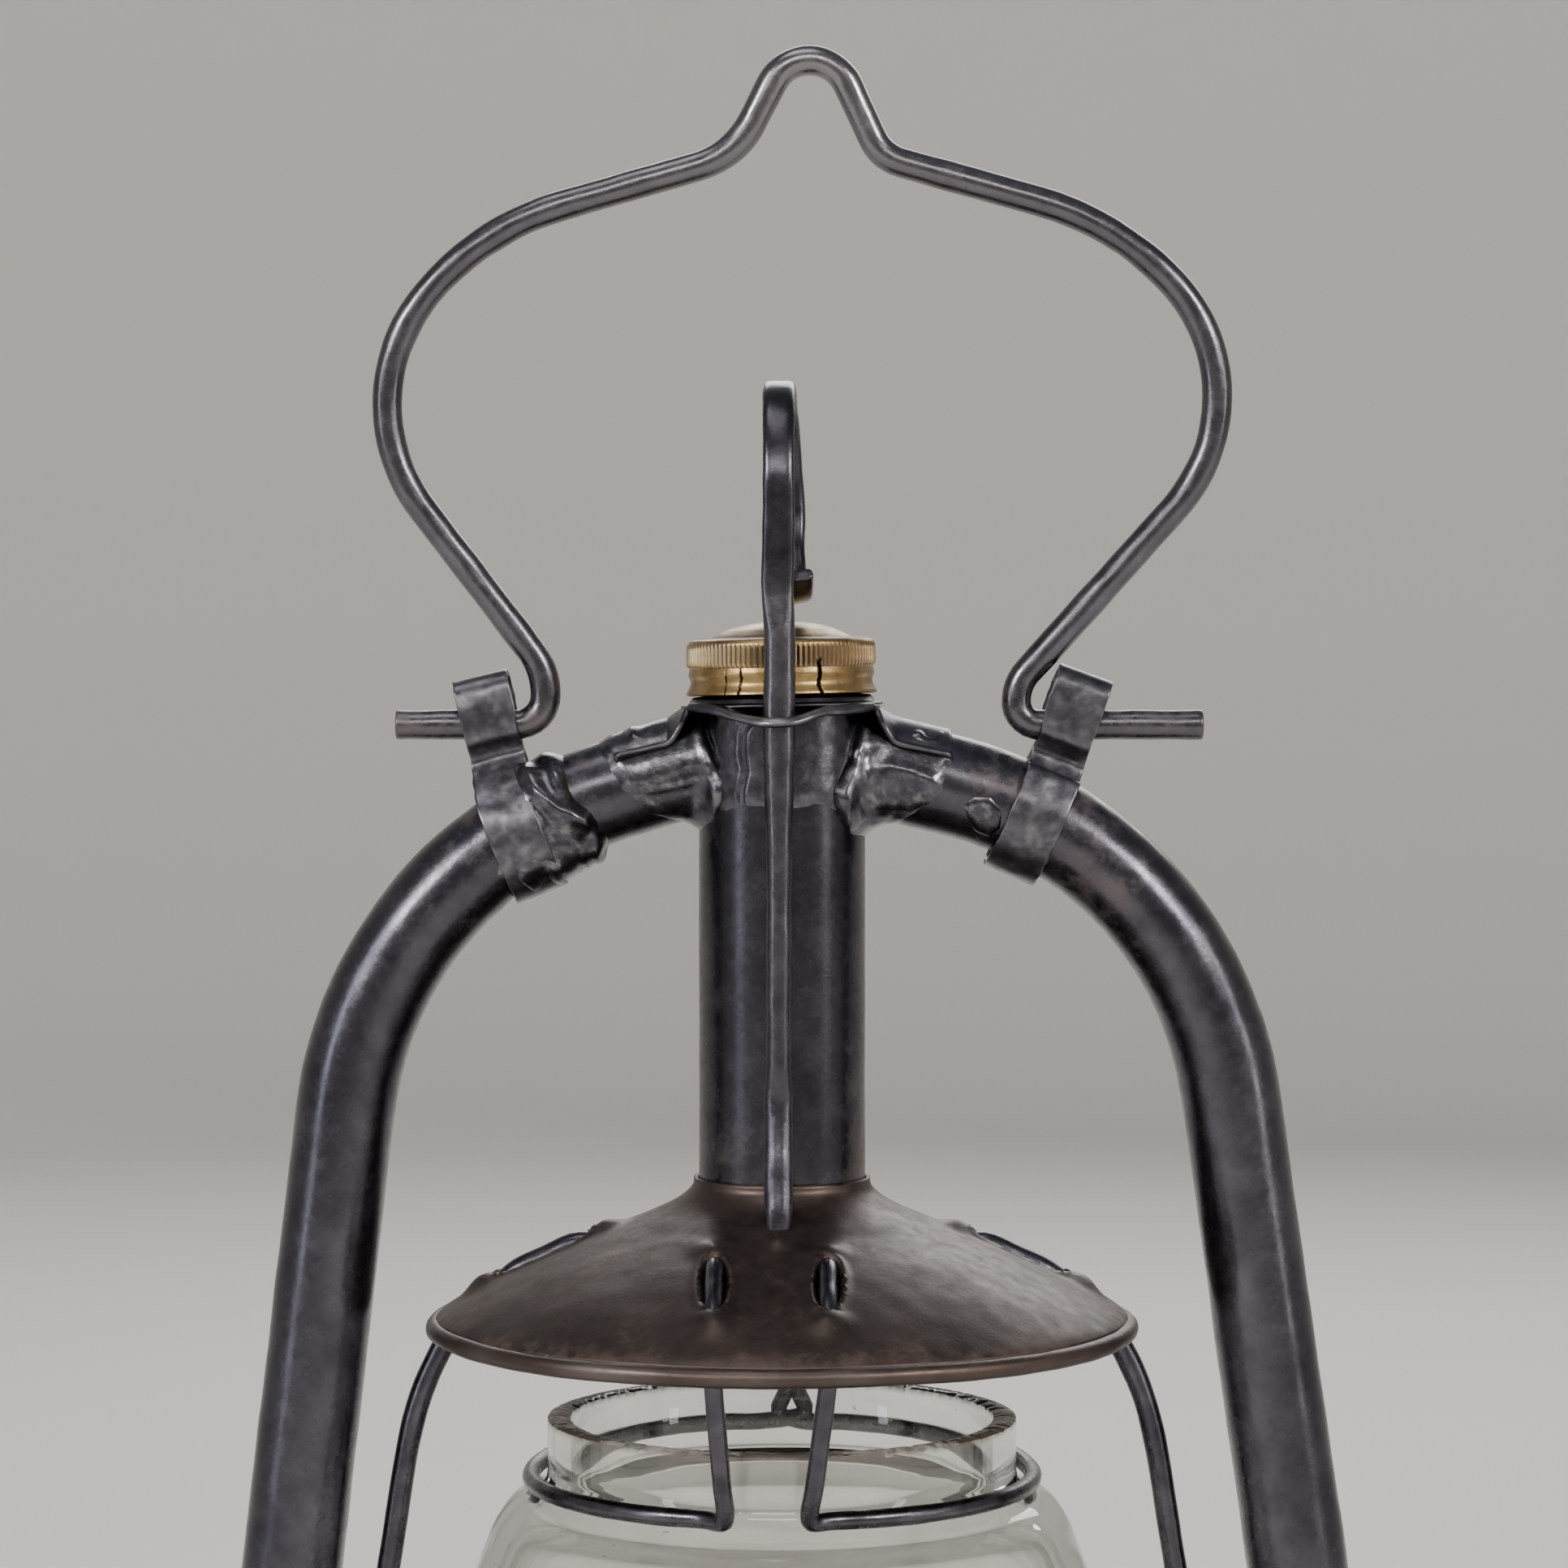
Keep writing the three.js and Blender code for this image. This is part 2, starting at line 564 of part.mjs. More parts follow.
// One neck wire: threaded through the hood at the front, down to the neck, half round it, and up
// again at the back, where the two wires cross.
function neckWirePath(side) {
  const x = side < 0 ? -9.7 : 6.6;
  const drop = threaded(NECK_WIRE).map(([r, z]) => point(x, -Math.sqrt(r * r - x * x), z));
  const tip = side < 0 ? -7.9 : 4.2;
  const ringAt = (angle) => point(
    side * NECK_RING_RADIUS * Math.sin(rad(angle)), -NECK_RING_RADIUS * Math.cos(rad(angle)),
    NECK_RING_Z,
  );
  const begin = side < 0 ? 20 : 15;
  const round = [];
  for (let angle = begin; angle <= 168; angle += (168 - begin) / 14) round.push(ringAt(angle));
  const backX = side < 0 ? -1.2 : 3.6;
  return pathThrough([
    ...drop, point(x + (tip - x) * 0.35, -46.2, 214), point(x + (tip - x) * 0.7, -42.9, 206),
    point(tip + side * 0.4, -40.4, 202.2), point(tip + side * 1.9, -39.2, 201.2), ...round,
    point(backX + side * 2.6, 37.9, 202.8), point(backX, 37.4, 206), point(backX, 36, 214),
    point(backX, 30.5, 229.2),
  ]);
}

// The hoop stands just inside the two guard wires where the cage is widest.
function cageHoop() {
  const radius = CAGE_RADIUS - GUARD_WIRE - GAP - 1.1;
  return new THREE.TorusGeometry(radius, 1.1, 6, 36).translate(0, 0, CAGE_Z);
}

function liftRodPath() {
  return bentPath([
    { at: point(ROD_X, ROD_FOOT_Y, 234) },
    { at: point(ROD_X, ROD_FOOT_Y, 241), bend: 8 },
    { at: point(ROD_X, ROD_Y, 256), bend: 20 },
    { at: point(ROD_X, ROD_Y, 331) },
  ], 8);
}

// The finger ring is a flat strip forged on the end of the rod and bent back over the cap. Its far
// side stands a little to the right of its near side.
function fingerRing() {
  const tall = (RING_TOP - RING_BOTTOM) / 2 - 1.4;
  const deep = 14.5;
  const middle = RING_TOP - 1.4 - tall;
  const points = [point(ROD_X, ROD_Y, 328), point(ROD_X, ROD_Y, 334), point(ROD_X, ROD_Y, 341)];
  const turnEnd = 308;
  for (let angle = 0; angle <= turnEnd; angle += turnEnd / 20) {
    points.push(point(
      ROD_X + 4.6 * THREE.MathUtils.smoothstep(angle, 60, turnEnd),
      ROD_Y + deep * (1 - Math.cos(rad(angle))),
      middle + tall * Math.sin(rad(angle)),
    ));
  }
  const strip = new THREE.Shape([[-1.3, -2.2], [1.3, -2.2], [1.3, 2.2], [-1.3, 2.2]].map((p) => new THREE.Vector2(...p)));
  return swept(pathThrough(points), strip);
}

function hood(cutters) {
  return cut(turned(shelled([...HOOD_PROFILE].reverse(), HOOD_SHEET), 28), ...cutters);
}

// ---------------------------------------------------------------------------------------------
// Globe and its plate
// ---------------------------------------------------------------------------------------------

function globe() {
  const outside = [
    [41, GLOBE_BOTTOM], [46.4, 92], [51.4, 112], [54, 135], [53.6, 155], [50.6, 172],
    [44.5, 189.5], [42.7, 193.8], [40.4, 196.9], [36.3, 198.8], [GLOBE_NECK_RADIUS, 200.8],
    [GLOBE_NECK_RADIUS, GLOBE_TOP],
  ];
  const inside = [
    [GLOBE_NECK_RADIUS - GLASS, GLOBE_TOP], [GLOBE_NECK_RADIUS - GLASS, 199.6], [34.4, 196.6], [39.2, 192.6],
    [41.4, 187.6], [47.4, 171], [50.4, 154.4], [50.8, 135.4], [48.3, 112.9], [43.4, 93.4], [38, GLOBE_BOTTOM],
  ];
  return turned([...outside, ...inside], 28);
}

// A dished plate with a centre hole for the burner cone and rings of air holes.
function globePlate() {
  const plate = turned([
    [21, CHAMBER_TOP + GAP], [42.6, CHAMBER_TOP + GAP], [44.4, CHAMBER_TOP + 1.4], [44.4, 80.4],
    [43.6, 80.4], [43.6, CHAMBER_TOP + 2], [42.2, CHAMBER_TOP + 1.1], [38.2, CHAMBER_TOP + 1.1], [37.4, 76.9],
    [36.4, 76.9], [36.4, CHAMBER_TOP + 1.1], [21, CHAMBER_TOP + 1.1],
  ], 28);
  const holes = [];
  for (let i = 0; i < AIR_HOLES; i += 1) {
    const angle = (2 * Math.PI * (i + 0.5)) / AIR_HOLES;
    const [x, y] = [AIR_HOLE_CIRCLE * Math.cos(angle), AIR_HOLE_CIRCLE * Math.sin(angle)];
    holes.push(rod(point(x, y, CHAMBER_TOP - 2), point(x, y, CHAMBER_TOP + 4), AIR_HOLE_RADIUS, 6));
  }
  return cut(plate, ...holes);
}

// ---------------------------------------------------------------------------------------------
// Burner and wick
// ---------------------------------------------------------------------------------------------

function slotTool(width, thickness, low, high) {
  return new THREE.BoxGeometry(thickness, width, high - low).translate(0, 0, (low + high) / 2);
}

function burnerBase() {
  const cup = turned([
    [0, 54], [9, 54], [9, 46], [18.6, 46], [18.6, TANK_TOP + 1.6], [22, TANK_TOP + 1.6], [22, TANK_TOP + 2.3],
    [15.2, TANK_TOP + 2.3], [15.2, 58], [0, 58],
  ], 24, false);
  return cut(cup, slotTool(WICK_WIDTH + 2 * GAP, WICK_THICKNESS + 2 * GAP, 50, 60));
}

function wickTube() {
  const outside = slotTool(WICK_WIDTH + 2 * GAP + 1.2, WICK_THICKNESS + 2 * GAP + 1.2, SHAFT_Z + 4.2, 80);
  return cut(outside, slotTool(WICK_WIDTH + 2 * GAP, WICK_THICKNESS + 2 * GAP, SHAFT_Z + 3, 81));
}

function burnerCone() {
  const dome = turned([
    [19.6, 66], [19.6, 70], [18.6, 76], [15.6, 81.5], [11, 85], [6, 86.6], [0, 87],
    [0, 86.3], [5.9, 85.9], [10.6, 84.4], [15, 81], [17.9, 75.8], [18.9, 70], [18.9, 66],
  ], 16);
  return cut(dome, slotTool(15.5, 4.6, 78, 90));
}

function coneLegs() {
  return [45, 135, 225, 315].map((angle) => {
    const [x, y] = [Math.cos(rad(angle)), Math.sin(rad(angle))];
    return rod(point(14.2 * x, 14.2 * y, 58.9), point(19.0 * x, 19.0 * y, 68), 0.9, 6);
  });
}

function wickShaft() {
  return rod(point(SHAFT_X, KNOB_Y + 1, SHAFT_Z), point(SHAFT_X, 9, SHAFT_Z), SHAFT_RADIUS, 12);
}

// A toothed wheel on the shaft; two of them carry the wick.
function spurWheel(y) {
  const shape = new THREE.Shape();
  const teeth = 9;
  for (let i = 0; i < 2 * teeth; i += 1) {
    const r = i % 2 ? SPUR_RADIUS - 0.9 : SPUR_RADIUS;
    const angle = (Math.PI * i) / teeth;
    shape[i ? "lineTo" : "moveTo"](r * Math.cos(angle), r * Math.sin(angle));
  }
  shape.holes.push(circle(SHAFT_RADIUS + GAP, 12));
  const wheel = new THREE.ExtrudeGeometry(shape, { depth: 1.2, bevelEnabled: false });
  return wheel.rotateX(Math.PI / 2).translate(SHAFT_X, y, SHAFT_Z);
}

function wickKnob() {
  const shape = new THREE.Shape();
  const scallops = 12;
  for (let i = 0; i < 4 * scallops; i += 1) {
    const r = 8.2 + 0.5 * Math.cos((Math.PI * i) / 2);
    const angle = (Math.PI * i) / (2 * scallops);
    shape[i ? "lineTo" : "moveTo"](r * Math.cos(angle), r * Math.sin(angle));
  }
  shape.holes.push(circle(SHAFT_RADIUS + GAP, 12));
  const disc = new THREE.ExtrudeGeometry(shape, { depth: 2.4, bevelEnabled: false });
  return disc.rotateX(Math.PI / 2).translate(SHAFT_X, KNOB_Y + 3.4, SHAFT_Z);
}

function shaftBush() {
  const [inner, outer] = [SHAFT_RADIUS + GAP, 3];
  const bush = turned([
    [inner, 0], [outer, 0], [outer, 3.2], [5, 3.2], [5, 4.4], [inner, 4.4],
  ], 20);
  return bush.rotateX(Math.PI / 2).translate(SHAFT_X, -CHAMBER_RADIUS + 2.2, SHAFT_Z);
}

// ---------------------------------------------------------------------------------------------
// Filler cap
// ---------------------------------------------------------------------------------------------

function fillerWasher() {
  return turned([
    [FILLER_RADIUS, FILLER_TOP + GAP], [FILLER_RADIUS, FILLER_TOP + 1.2], [4, FILLER_TOP + 1.2], [4, FILLER_TOP + GAP],
  ], 24).translate(FILLER_X, FILLER_Y, 0);
}

function fillerCap() {
  const r = FILLER_RADIUS + 2.2;
  const top = FILLER_TOP + 3;
  return turned([
    [r, FILLER_TOP - 4.5], [r, top - 0.8], [r - 0.8, top], [4.2, top], [3.6, top + 2.2], [0, top + 2.6],
    [0, FILLER_TOP + 1.5], [FILLER_RADIUS + 0.4, FILLER_TOP + 1.5], [FILLER_RADIUS + 0.4, FILLER_TOP - 4.5],
  ], 28).translate(FILLER_X, FILLER_Y, 0);
}

// ---------------------------------------------------------------------------------------------
// Assembly
// ---------------------------------------------------------------------------------------------

const guardPaths = { left: guardWirePath(-1), right: guardWirePath(1) };
const neckPaths = { left: neckWirePath(-1), right: neckWirePath(1) };
const rodPath = liftRodPath();

add("base_plate", STEEL, basePlate());
add("tank_shell", STEEL, tankShell());
add("filler_neck", STEEL, fillerNeck());
add("burner_collar", BRASS, burnerCollar());
add("air_chamber", STEEL, airChamber());
add("side_tube_left", STEEL, sideTube(LEFT_TUBE));
add("side_tube_right", STEEL, sideTube(RIGHT_TUBE));
add("centre_tube", STEEL, centreTube());
add("joint_saddle_left", STEEL, jointSaddle(LEFT_TUBE));
add("joint_saddle_right", STEEL, jointSaddle(RIGHT_TUBE));
add("guide_plate", STEEL, guidePlate());
add("cap_neck", STEEL, capNeck());
add("ear_strap_left", STEEL, earStrap(LEFT_STRAP));
add("ear_strap_right", STEEL, earStrap(RIGHT_STRAP));
add("burner_base", BRASS, burnerBase());
add("wick_tube", BRASS, wickTube());
add("burner_cone", BRASS, join(burnerCone(), ...coneLegs()));
add("shaft_bush", BRASS, shaftBush());

const hoodCutters = [
  ...Object.values(guardPaths).map((path) => wire(path, GUARD_WIRE + GAP + 0.05)),
  ...Object.values(neckPaths).map((path) => wire(path, NECK_WIRE + GAP + 0.05, 6)),
  wire(rodPath, ROD_RADIUS + GAP, 8),
];
add("hood", HOOD_STEEL, hood(hoodCutters));
add("hood_rim", HOOD_STEEL, new THREE.TorusGeometry(RIM_RADIUS, RIM_WIRE, 6, 36).translate(0, 0, RIM_Z));
add("lift_rod", STEEL, join(wire(rodPath, ROD_RADIUS, 8), fingerRing()));
for (const [name, path] of Object.entries(guardPaths)) {
  add(`guard_wire_${name}`, STEEL, wire(path, GUARD_WIRE, 8));
}
for (const [name, path] of Object.entries(neckPaths)) {
  add(`neck_wire_${name}`, STEEL, wire(path, NECK_WIRE, 6));
}
add("cage_hoop", STEEL, cageHoop());
add("cage_base_ring", STEEL, new THREE.TorusGeometry(CAGE_BASE_RADIUS, 1.3, 6, 32).translate(0, 0, CAGE_BASE_Z));
add("globe_plate", STEEL, globePlate());
add("globe", CLEAR_GLASS, globe());

add("bail", STEEL, bail());

add("cap_washer", LEATHER, capWasher());
add("brass_cap", BRASS, brassCap());
add("filler_washer", LEATHER, fillerWasher());
add("filler_cap", BRASS, fillerCap());

add("wick_shaft", BRASS, wickShaft());
add("wick_knob", BRASS, wickKnob());
add("spur_wheel_front", BRASS, spurWheel(-3.4));
add("spur_wheel_rear", BRASS, spurWheel(4.6));
add("wick", COTTON, slotTool(WICK_WIDTH, WICK_THICKNESS, WICK_BOTTOM, WICK_TOP));

export default lamp;
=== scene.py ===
# %% [markdown]
# # A miner's oil lamp, made by hand from sheet, tube and wire
# The lamp has an oil tank, two bent tubes that bring air back to the burner, a hood, a glass globe in
# a wire cage, a lift rod with a finger ring, and a bail to carry it by.
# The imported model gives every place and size. Here each part is built again with the marks of hand
# work: uneven tube, lumps of solder, pushed-up sheet, tarnish and rust.
# Shapes are worked out in millimetres and turned to metres when a piece is finished.

# %% Set-up
import json
import math

import bmesh
import bpy
import numpy as np
from mathutils import Matrix, Vector, noise

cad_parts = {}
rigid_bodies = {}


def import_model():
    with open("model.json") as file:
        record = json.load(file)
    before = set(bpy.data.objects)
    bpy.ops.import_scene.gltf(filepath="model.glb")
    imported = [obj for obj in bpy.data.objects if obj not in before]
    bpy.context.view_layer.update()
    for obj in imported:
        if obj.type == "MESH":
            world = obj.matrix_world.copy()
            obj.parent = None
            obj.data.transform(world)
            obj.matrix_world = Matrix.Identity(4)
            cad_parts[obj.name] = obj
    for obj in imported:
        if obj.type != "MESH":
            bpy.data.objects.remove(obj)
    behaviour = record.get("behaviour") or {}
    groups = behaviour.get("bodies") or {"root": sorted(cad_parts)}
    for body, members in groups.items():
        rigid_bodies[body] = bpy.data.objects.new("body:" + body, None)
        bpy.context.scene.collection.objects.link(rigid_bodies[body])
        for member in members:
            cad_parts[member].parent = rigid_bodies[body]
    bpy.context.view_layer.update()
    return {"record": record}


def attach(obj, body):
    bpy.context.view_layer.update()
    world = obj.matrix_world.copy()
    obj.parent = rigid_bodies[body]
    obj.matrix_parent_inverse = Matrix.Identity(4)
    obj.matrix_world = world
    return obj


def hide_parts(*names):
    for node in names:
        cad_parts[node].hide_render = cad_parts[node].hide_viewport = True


for old in list(bpy.data.objects):
    bpy.data.objects.remove(old)
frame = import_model()
scene = bpy.context.scene
BODY_OF = {node: body for body, nodes in frame["record"]["behaviour"]["bodies"].items() for node in nodes}
MM = 0.001

# %% [markdown]
# ## Main sizes
# These repeat the sizes that the parts were drawn with, in millimetres.
# A few of them decide nearly everything: the tube's radius, the lines that the tubes and wires
# follow, and the hood's outline.

# %% Main sizes
SHEET = 0.8
GAP = 0.3
TUBE_RADIUS = 7.55
TUBE_WALL = 0.7
CENTRE_RADIUS = 12.5
CENTRE_BOTTOM = 226.0
CENTRE_TOP = 314.3
CHAMBER_RADIUS = 42.0
WAIST_Z = 180.0
LOWER_BEND = 45.0
LOWER_DIP = 12.0
LEFT_TUBE = dict(side=-1, waist=74.6, lean=6.78, rise=74.7, bend=57.6, top=73.6, fall=67)
RIGHT_TUBE = dict(side=1, waist=78.57, lean=8.18, rise=77.6, bend=56, top=76.7, fall=66)
HOOD_LINE = [
    (13.3, 244.3), (13.4, 243.2), (15.4, 241.2), (21.3, 238.3), (33.7, 233.4), (44.1, 228.5), (51.1, 224.2),
    (52.1, 223.3),
]
ROD_X = -0.5
ROD_Y = -16.8

# %% [markdown]
# ## Colours and nodes
# Paint and metal colours are easiest to name as the hex codes of a screen, but light adds up
# linearly, so one function turns a code into linear numbers.
# Another adds a node, sets it up and links it, so that a material reads from top to bottom, and
# a few short ones give the output of the kinds of node that come back most often.

# %% Colour and node helpers
def colour(code):
    """A screen colour such as "8c7243" as linear red, green, blue and alpha."""
    channels = [int(code[i:i + 2], 16) / 255 for i in (0, 2, 4)]
    return [c / 12.92 if c <= 0.04045 else ((c + 0.055) / 1.055) ** 2.4 for c in channels] + [1.0]


def per(size):
    """The texture scale at which a pattern repeats about every size millimetres."""
    return 1 / (size * MM)


def node(tree, kind, inputs=None, **settings):
    """Adds a node. inputs maps an input's name or number to a value or to a socket to link."""
    made = tree.nodes.new("ShaderNode" + kind)
    for name, value in settings.items():
        setattr(made, name, value)
    for name, value in (inputs or {}).items():
        socket = made.inputs[name]
        if isinstance(value, bpy.types.NodeSocket):
            tree.links.new(value, socket)
        else:
            socket.default_value = value
    return made


def blend(tree, share, first, second):
    """The first colour where share is 0 and the second where it is 1."""
    return node(tree, "Mix", {0: share, 6: first, 7: second}, data_type="RGBA").outputs[2]


def add_share(tree, value, share, base):
    """base plus value times share."""
    return node(tree, "Math", {0: value, 1: share, 2: base}, operation="MULTIPLY_ADD").outputs[0]


def remap(tree, value, low, high, bottom=0.0, top=1.0, **settings):
    """Turns low to high into bottom to top."""
    return node(tree, "MapRange", {0: value, 1: low, 2: high, 3: bottom, 4: top}, **settings).outputs[0]


def grain_of(tree, place, size, detail, roughness=0.5):
    """Noise with patches of about size millimetres."""
    settings = {"Vector": place, "Scale": per(size), "Detail": detail, "Roughness": roughness}
    return node(tree, "TexNoise", settings).outputs[0]


def new_material(name):
    made = bpy.data.materials.new(name)
    made.use_nodes = True
    made.node_tree.nodes.clear()
    return made


print("steel grey is", [round(c, 3) for c in colour("54535b")[:3]])

# %% [markdown]
# ## Old metal
# Steel tube, wire and sheet that was blacked, waxed and left to age never has one colour. It is
# mottled where the wax lies thick or thin, hazed brown where rust starts, and pitted with dark specks.
# Each vertex can carry a "wear_and_light" attribute of three numbers: rust, polish and soot. On a few
# pieces the polish number is a painted highlight and the soot number is painted shade. The material adds
# noise to them, so the rust has a ragged edge and gathers where that piece really gets wet or hot.
# Bare metal keeps a metallic value of 1 and rust, which is an oxide, brings it down.

# %% Material for old metal
def old_metal(
    name, bright, dull, rust, rough, patch=7.0, pits=0.5, haze=0.0, coat=0.10, relief=0.018, dust=0.0,
):
    made = new_material(name)
    tree = made.node_tree
    place = node(tree, "TexCoord").outputs["Object"]
    wear_and_light = node(tree, "Attribute", attribute_name="wear_and_light").outputs["Vector"]
    wear_and_light_marks = node(tree, "SeparateXYZ", {0: wear_and_light}).outputs
    patches = grain_of(tree, place, patch, 6.0, 0.62)
    grain = grain_of(tree, place, 0.55, 3.0, 0.7)
    specks = grain_of(tree, place, 1.1, 4.0, 0.75)
    smears = grain_of(tree, place, 2.6, 5.0, 0.7)
    tone = remap(tree, patches, 0.36, 0.66)
    metal = blend(tree, tone, colour(dull), colour(bright))

    rusting = add_share(tree, smears, 0.55, wear_and_light_marks[0])
    spread = add_share(tree, patches, 0.5, rusting)
    rusty = remap(tree, spread, 0.74 - haze, 1.1 - haze, interpolation_type="SMOOTHSTEP")
    light_rust = [min(1.0, c * 1.5) for c in colour(rust)[:3]] + [1.0]
    oxide = blend(tree, smears, colour(rust), light_rust)
    hazed = blend(tree, rusty, metal, oxide)

    speck_at = add_share(tree, rusty, 0.07, specks)
    pit = remap(tree, speck_at, 0.70, 0.76, top=pits)
    pitted = blend(tree, pit, hazed, colour("171415"))
    # The soot colour also paints shade into creases and under the guide plate, and the polish colour also
    # paints a highlight along some front edges.
    soot_and_shade = blend(tree, wear_and_light_marks[2], pitted, colour("141315"))
    lightened = blend(tree, wear_and_light_marks[1], soot_and_shade, colour("a9a6a8"))
    dusty = remap(tree, specks, 0.30, 0.24, top=dust)
    surface = blend(tree, dusty, lightened, colour("a39a90"))

    smooth, coarse = rough
    gloss = remap(tree, smears, 0.35, 0.68, bottom=smooth, top=coarse)
    rustier = add_share(tree, rusty, 0.22, gloss)
    polished = add_share(tree, wear_and_light_marks[1], -0.12, rustier)
    bare = add_share(tree, rusty, -0.75, 1.0)
    height = add_share(tree, pit, -1.2, grain)
    rolling = add_share(tree, smears, 1.6, height)
    bump = node(tree, "Bump", {"Strength": 1.0, "Distance": relief * MM, "Height": rolling})
    shader = node(tree, "BsdfPrincipled", {
        "Base Color": surface, "Metallic": bare, "Roughness": polished,
        "Normal": bump.outputs[0], "Coat Weight": coat, "Coat Roughness": 0.28,
    })
    node(tree, "OutputMaterial", {"Surface": shader.outputs[0]})
    print(name, "has", len(tree.nodes), "nodes")
    return made


# Cold-drawn mild steel tube, blacked and waxed: blue-grey with soft streaks of light.
tube_steel = old_metal(
    "waxed_steel_tube", "55545c", "3d3c44", "49382e", (0.20, 0.33), patch=13, pits=0.85, haze=0.0,
)
# Soft iron wire, oiled and handled: darker, and shinier where hands rub it.
wire_steel = old_metal(
    "oiled_iron_wire", "504f57", "3e3d45", "3e3029", (0.22, 0.35), patch=7, pits=0.25, haze=-0.05,
)
# Cold-rolled strip and sheet, brushed by hand and waxed: matter, with a grainy sheen.
strip_steel = old_metal(
    "waxed_steel_strip", "5b5a62", "45444c", "463830", (0.27, 0.42), patch=4, pits=0.35, haze=-0.06,
)
# Lead and tin solder gone grey: bright where it froze smooth, dull where the flux burnt.
solder = old_metal(
    "tin_lead_solder", "5c5b63", "3f3e46", "40342e", (0.17, 0.34), patch=3, pits=0.45, haze=-0.06,
    relief=0.03,
)
# Sheet steel that the flame has heated for years: brown oxide over blue-black scale, with dust on it.
hood_steel = old_metal(
    "heat_browned_sheet", "504541", "433b38", "3f302a", (0.40, 0.54), patch=14, pits=0.35, haze=0.06,
    coat=0.08, relief=0.03, dust=0.8,
)

# %% [markdown]
# ## Brass
# The cap and the burner are pressed from brass sheet. Old lacquer and finger grease turn brass brown
# in hollows, and rubbing keeps its high edges yellow.
# The same three numbers of the wear_and_light attribute steer it, but tarnish keeps most of its shine, so it
# stays metallic.

# %% Material for brass
def old_brass(name, bright, brown, rough):
    made = new_material(name)
    tree = made.node_tree
    place = node(tree, "TexCoord").outputs["Object"]
    wear_and_light = node(tree, "Attribute", attribute_name="wear_and_light").outputs["Vector"]
    wear_and_light_marks = node(tree, "SeparateXYZ", {0: wear_and_light}).outputs
    patches = grain_of(tree, place, 4.5, 6.0, 0.65)
    grain = grain_of(tree, place, 0.5, 3.0, 0.7)
    tarnish = add_share(tree, wear_and_light_marks[0], 0.45, patches)
    browned = remap(tree, tarnish, 0.40, 0.82)
    metal = blend(tree, browned, colour(bright), colour(brown))
    specks = remap(tree, grain, 0.66, 0.74, top=0.5)
    spotted = blend(tree, specks, metal, colour("3b2c1b"))
    lightened = blend(tree, wear_and_light_marks[1], spotted, colour("e4d5b4"))
    dark = blend(tree, wear_and_light_marks[2], lightened, colour("1d1713"))
    smooth, coarse = rough
    gloss = remap(tree, tarnish, 0.35, 0.85, bottom=smooth, top=coarse)
    bump = node(tree, "Bump", {"Strength": 1.0, "Distance": 0.03 * MM, "Height": grain})
    shader = node(tree, "BsdfPrincipled", {
        "Base Color": dark, "Metallic": 1.0, "Roughness": gloss,
        "Normal": bump.outputs[0],
    })
    node(tree, "OutputMaterial", {"Surface": shader.outputs[0]})
    print(name, "has", len(tree.nodes), "nodes")
    return made


# Pressed brass with old tarnish: dull gold with brown hollows.
cap_brass = old_brass("tarnished_brass", "ab9363", "66503a", (0.26, 0.44))

# %% [markdown]
# ## Glass, leather and cotton
# The globe is blown soda-lime glass: clear, faintly grey-green, with dust and specks that scatter a
# little light. It is modelled with its real wall, so the light bends in it as it should.
# The washers are vegetable-tanned leather soaked in oil. The wick is a flat woven cotton tape, pale
# below and charred where it burns.

# %% Materials for glass, leather and cotton
def clear_glass(name):
    made = new_material(name)
    tree = made.node_tree
    place = node(tree, "TexCoord").outputs["Object"]
    wear_and_light = node(tree, "Attribute", attribute_name="wear_and_light").outputs["Vector"]
    wear_and_light_marks = node(tree, "SeparateXYZ", {0: wear_and_light}).outputs
    dirt = grain_of(tree, place, 16.0, 5.0, 0.6)
    motes = grain_of(tree, place, 1.6, 2.0, 0.6)
    mote = remap(tree, motes, 0.74, 0.77, top=0.8)
    film = remap(tree, dirt, 0.35, 0.75, bottom=0.0, top=0.09)
    cloud = node(tree, "Math", {0: film, 1: mote}, operation="MAXIMUM")
    dull = node(tree, "Math", {0: cloud.outputs[0], 1: wear_and_light_marks[0]}, operation="MAXIMUM")
    shade = blend(tree, wear_and_light_marks[0], colour("8e867c"), colour("3a322c"))
    glass = node(tree, "BsdfPrincipled", {
        "Base Color": colour("f1f3ef"), "Roughness": 0.015, "IOR": 1.5, "Transmission Weight": 1.0,
    })
    dust = node(tree, "BsdfPrincipled", {"Base Color": shade, "Roughness": 0.8})
    both = node(tree, "MixShader", {0: dull.outputs[0], 1: glass.outputs[0], 2: dust.outputs[0]})
    node(tree, "OutputMaterial", {"Surface": both.outputs[0]})
    return made


def oiled_leather(name):
    made = new_material(name)
    tree = made.node_tree
    place = node(tree, "TexCoord").outputs["Object"]
    pores = node(tree, "TexVoronoi", {"Vector": place, "Scale": per(0.7)})
    tone = grain_of(tree, place, 5.0, 4.0)
    hide = blend(tree, tone, colour("2b1f17"), colour("5c4330"))
    bump = node(tree, "Bump", {"Strength": 0.8, "Distance": 0.08 * MM, "Height": pores.outputs["Distance"]})
    shader = node(tree, "BsdfPrincipled", {
        "Base Color": hide, "Roughness": 0.62, "IOR": 1.45, "Normal": bump.outputs[0],
    })
    node(tree, "OutputMaterial", {"Surface": shader.outputs[0]})
    return made


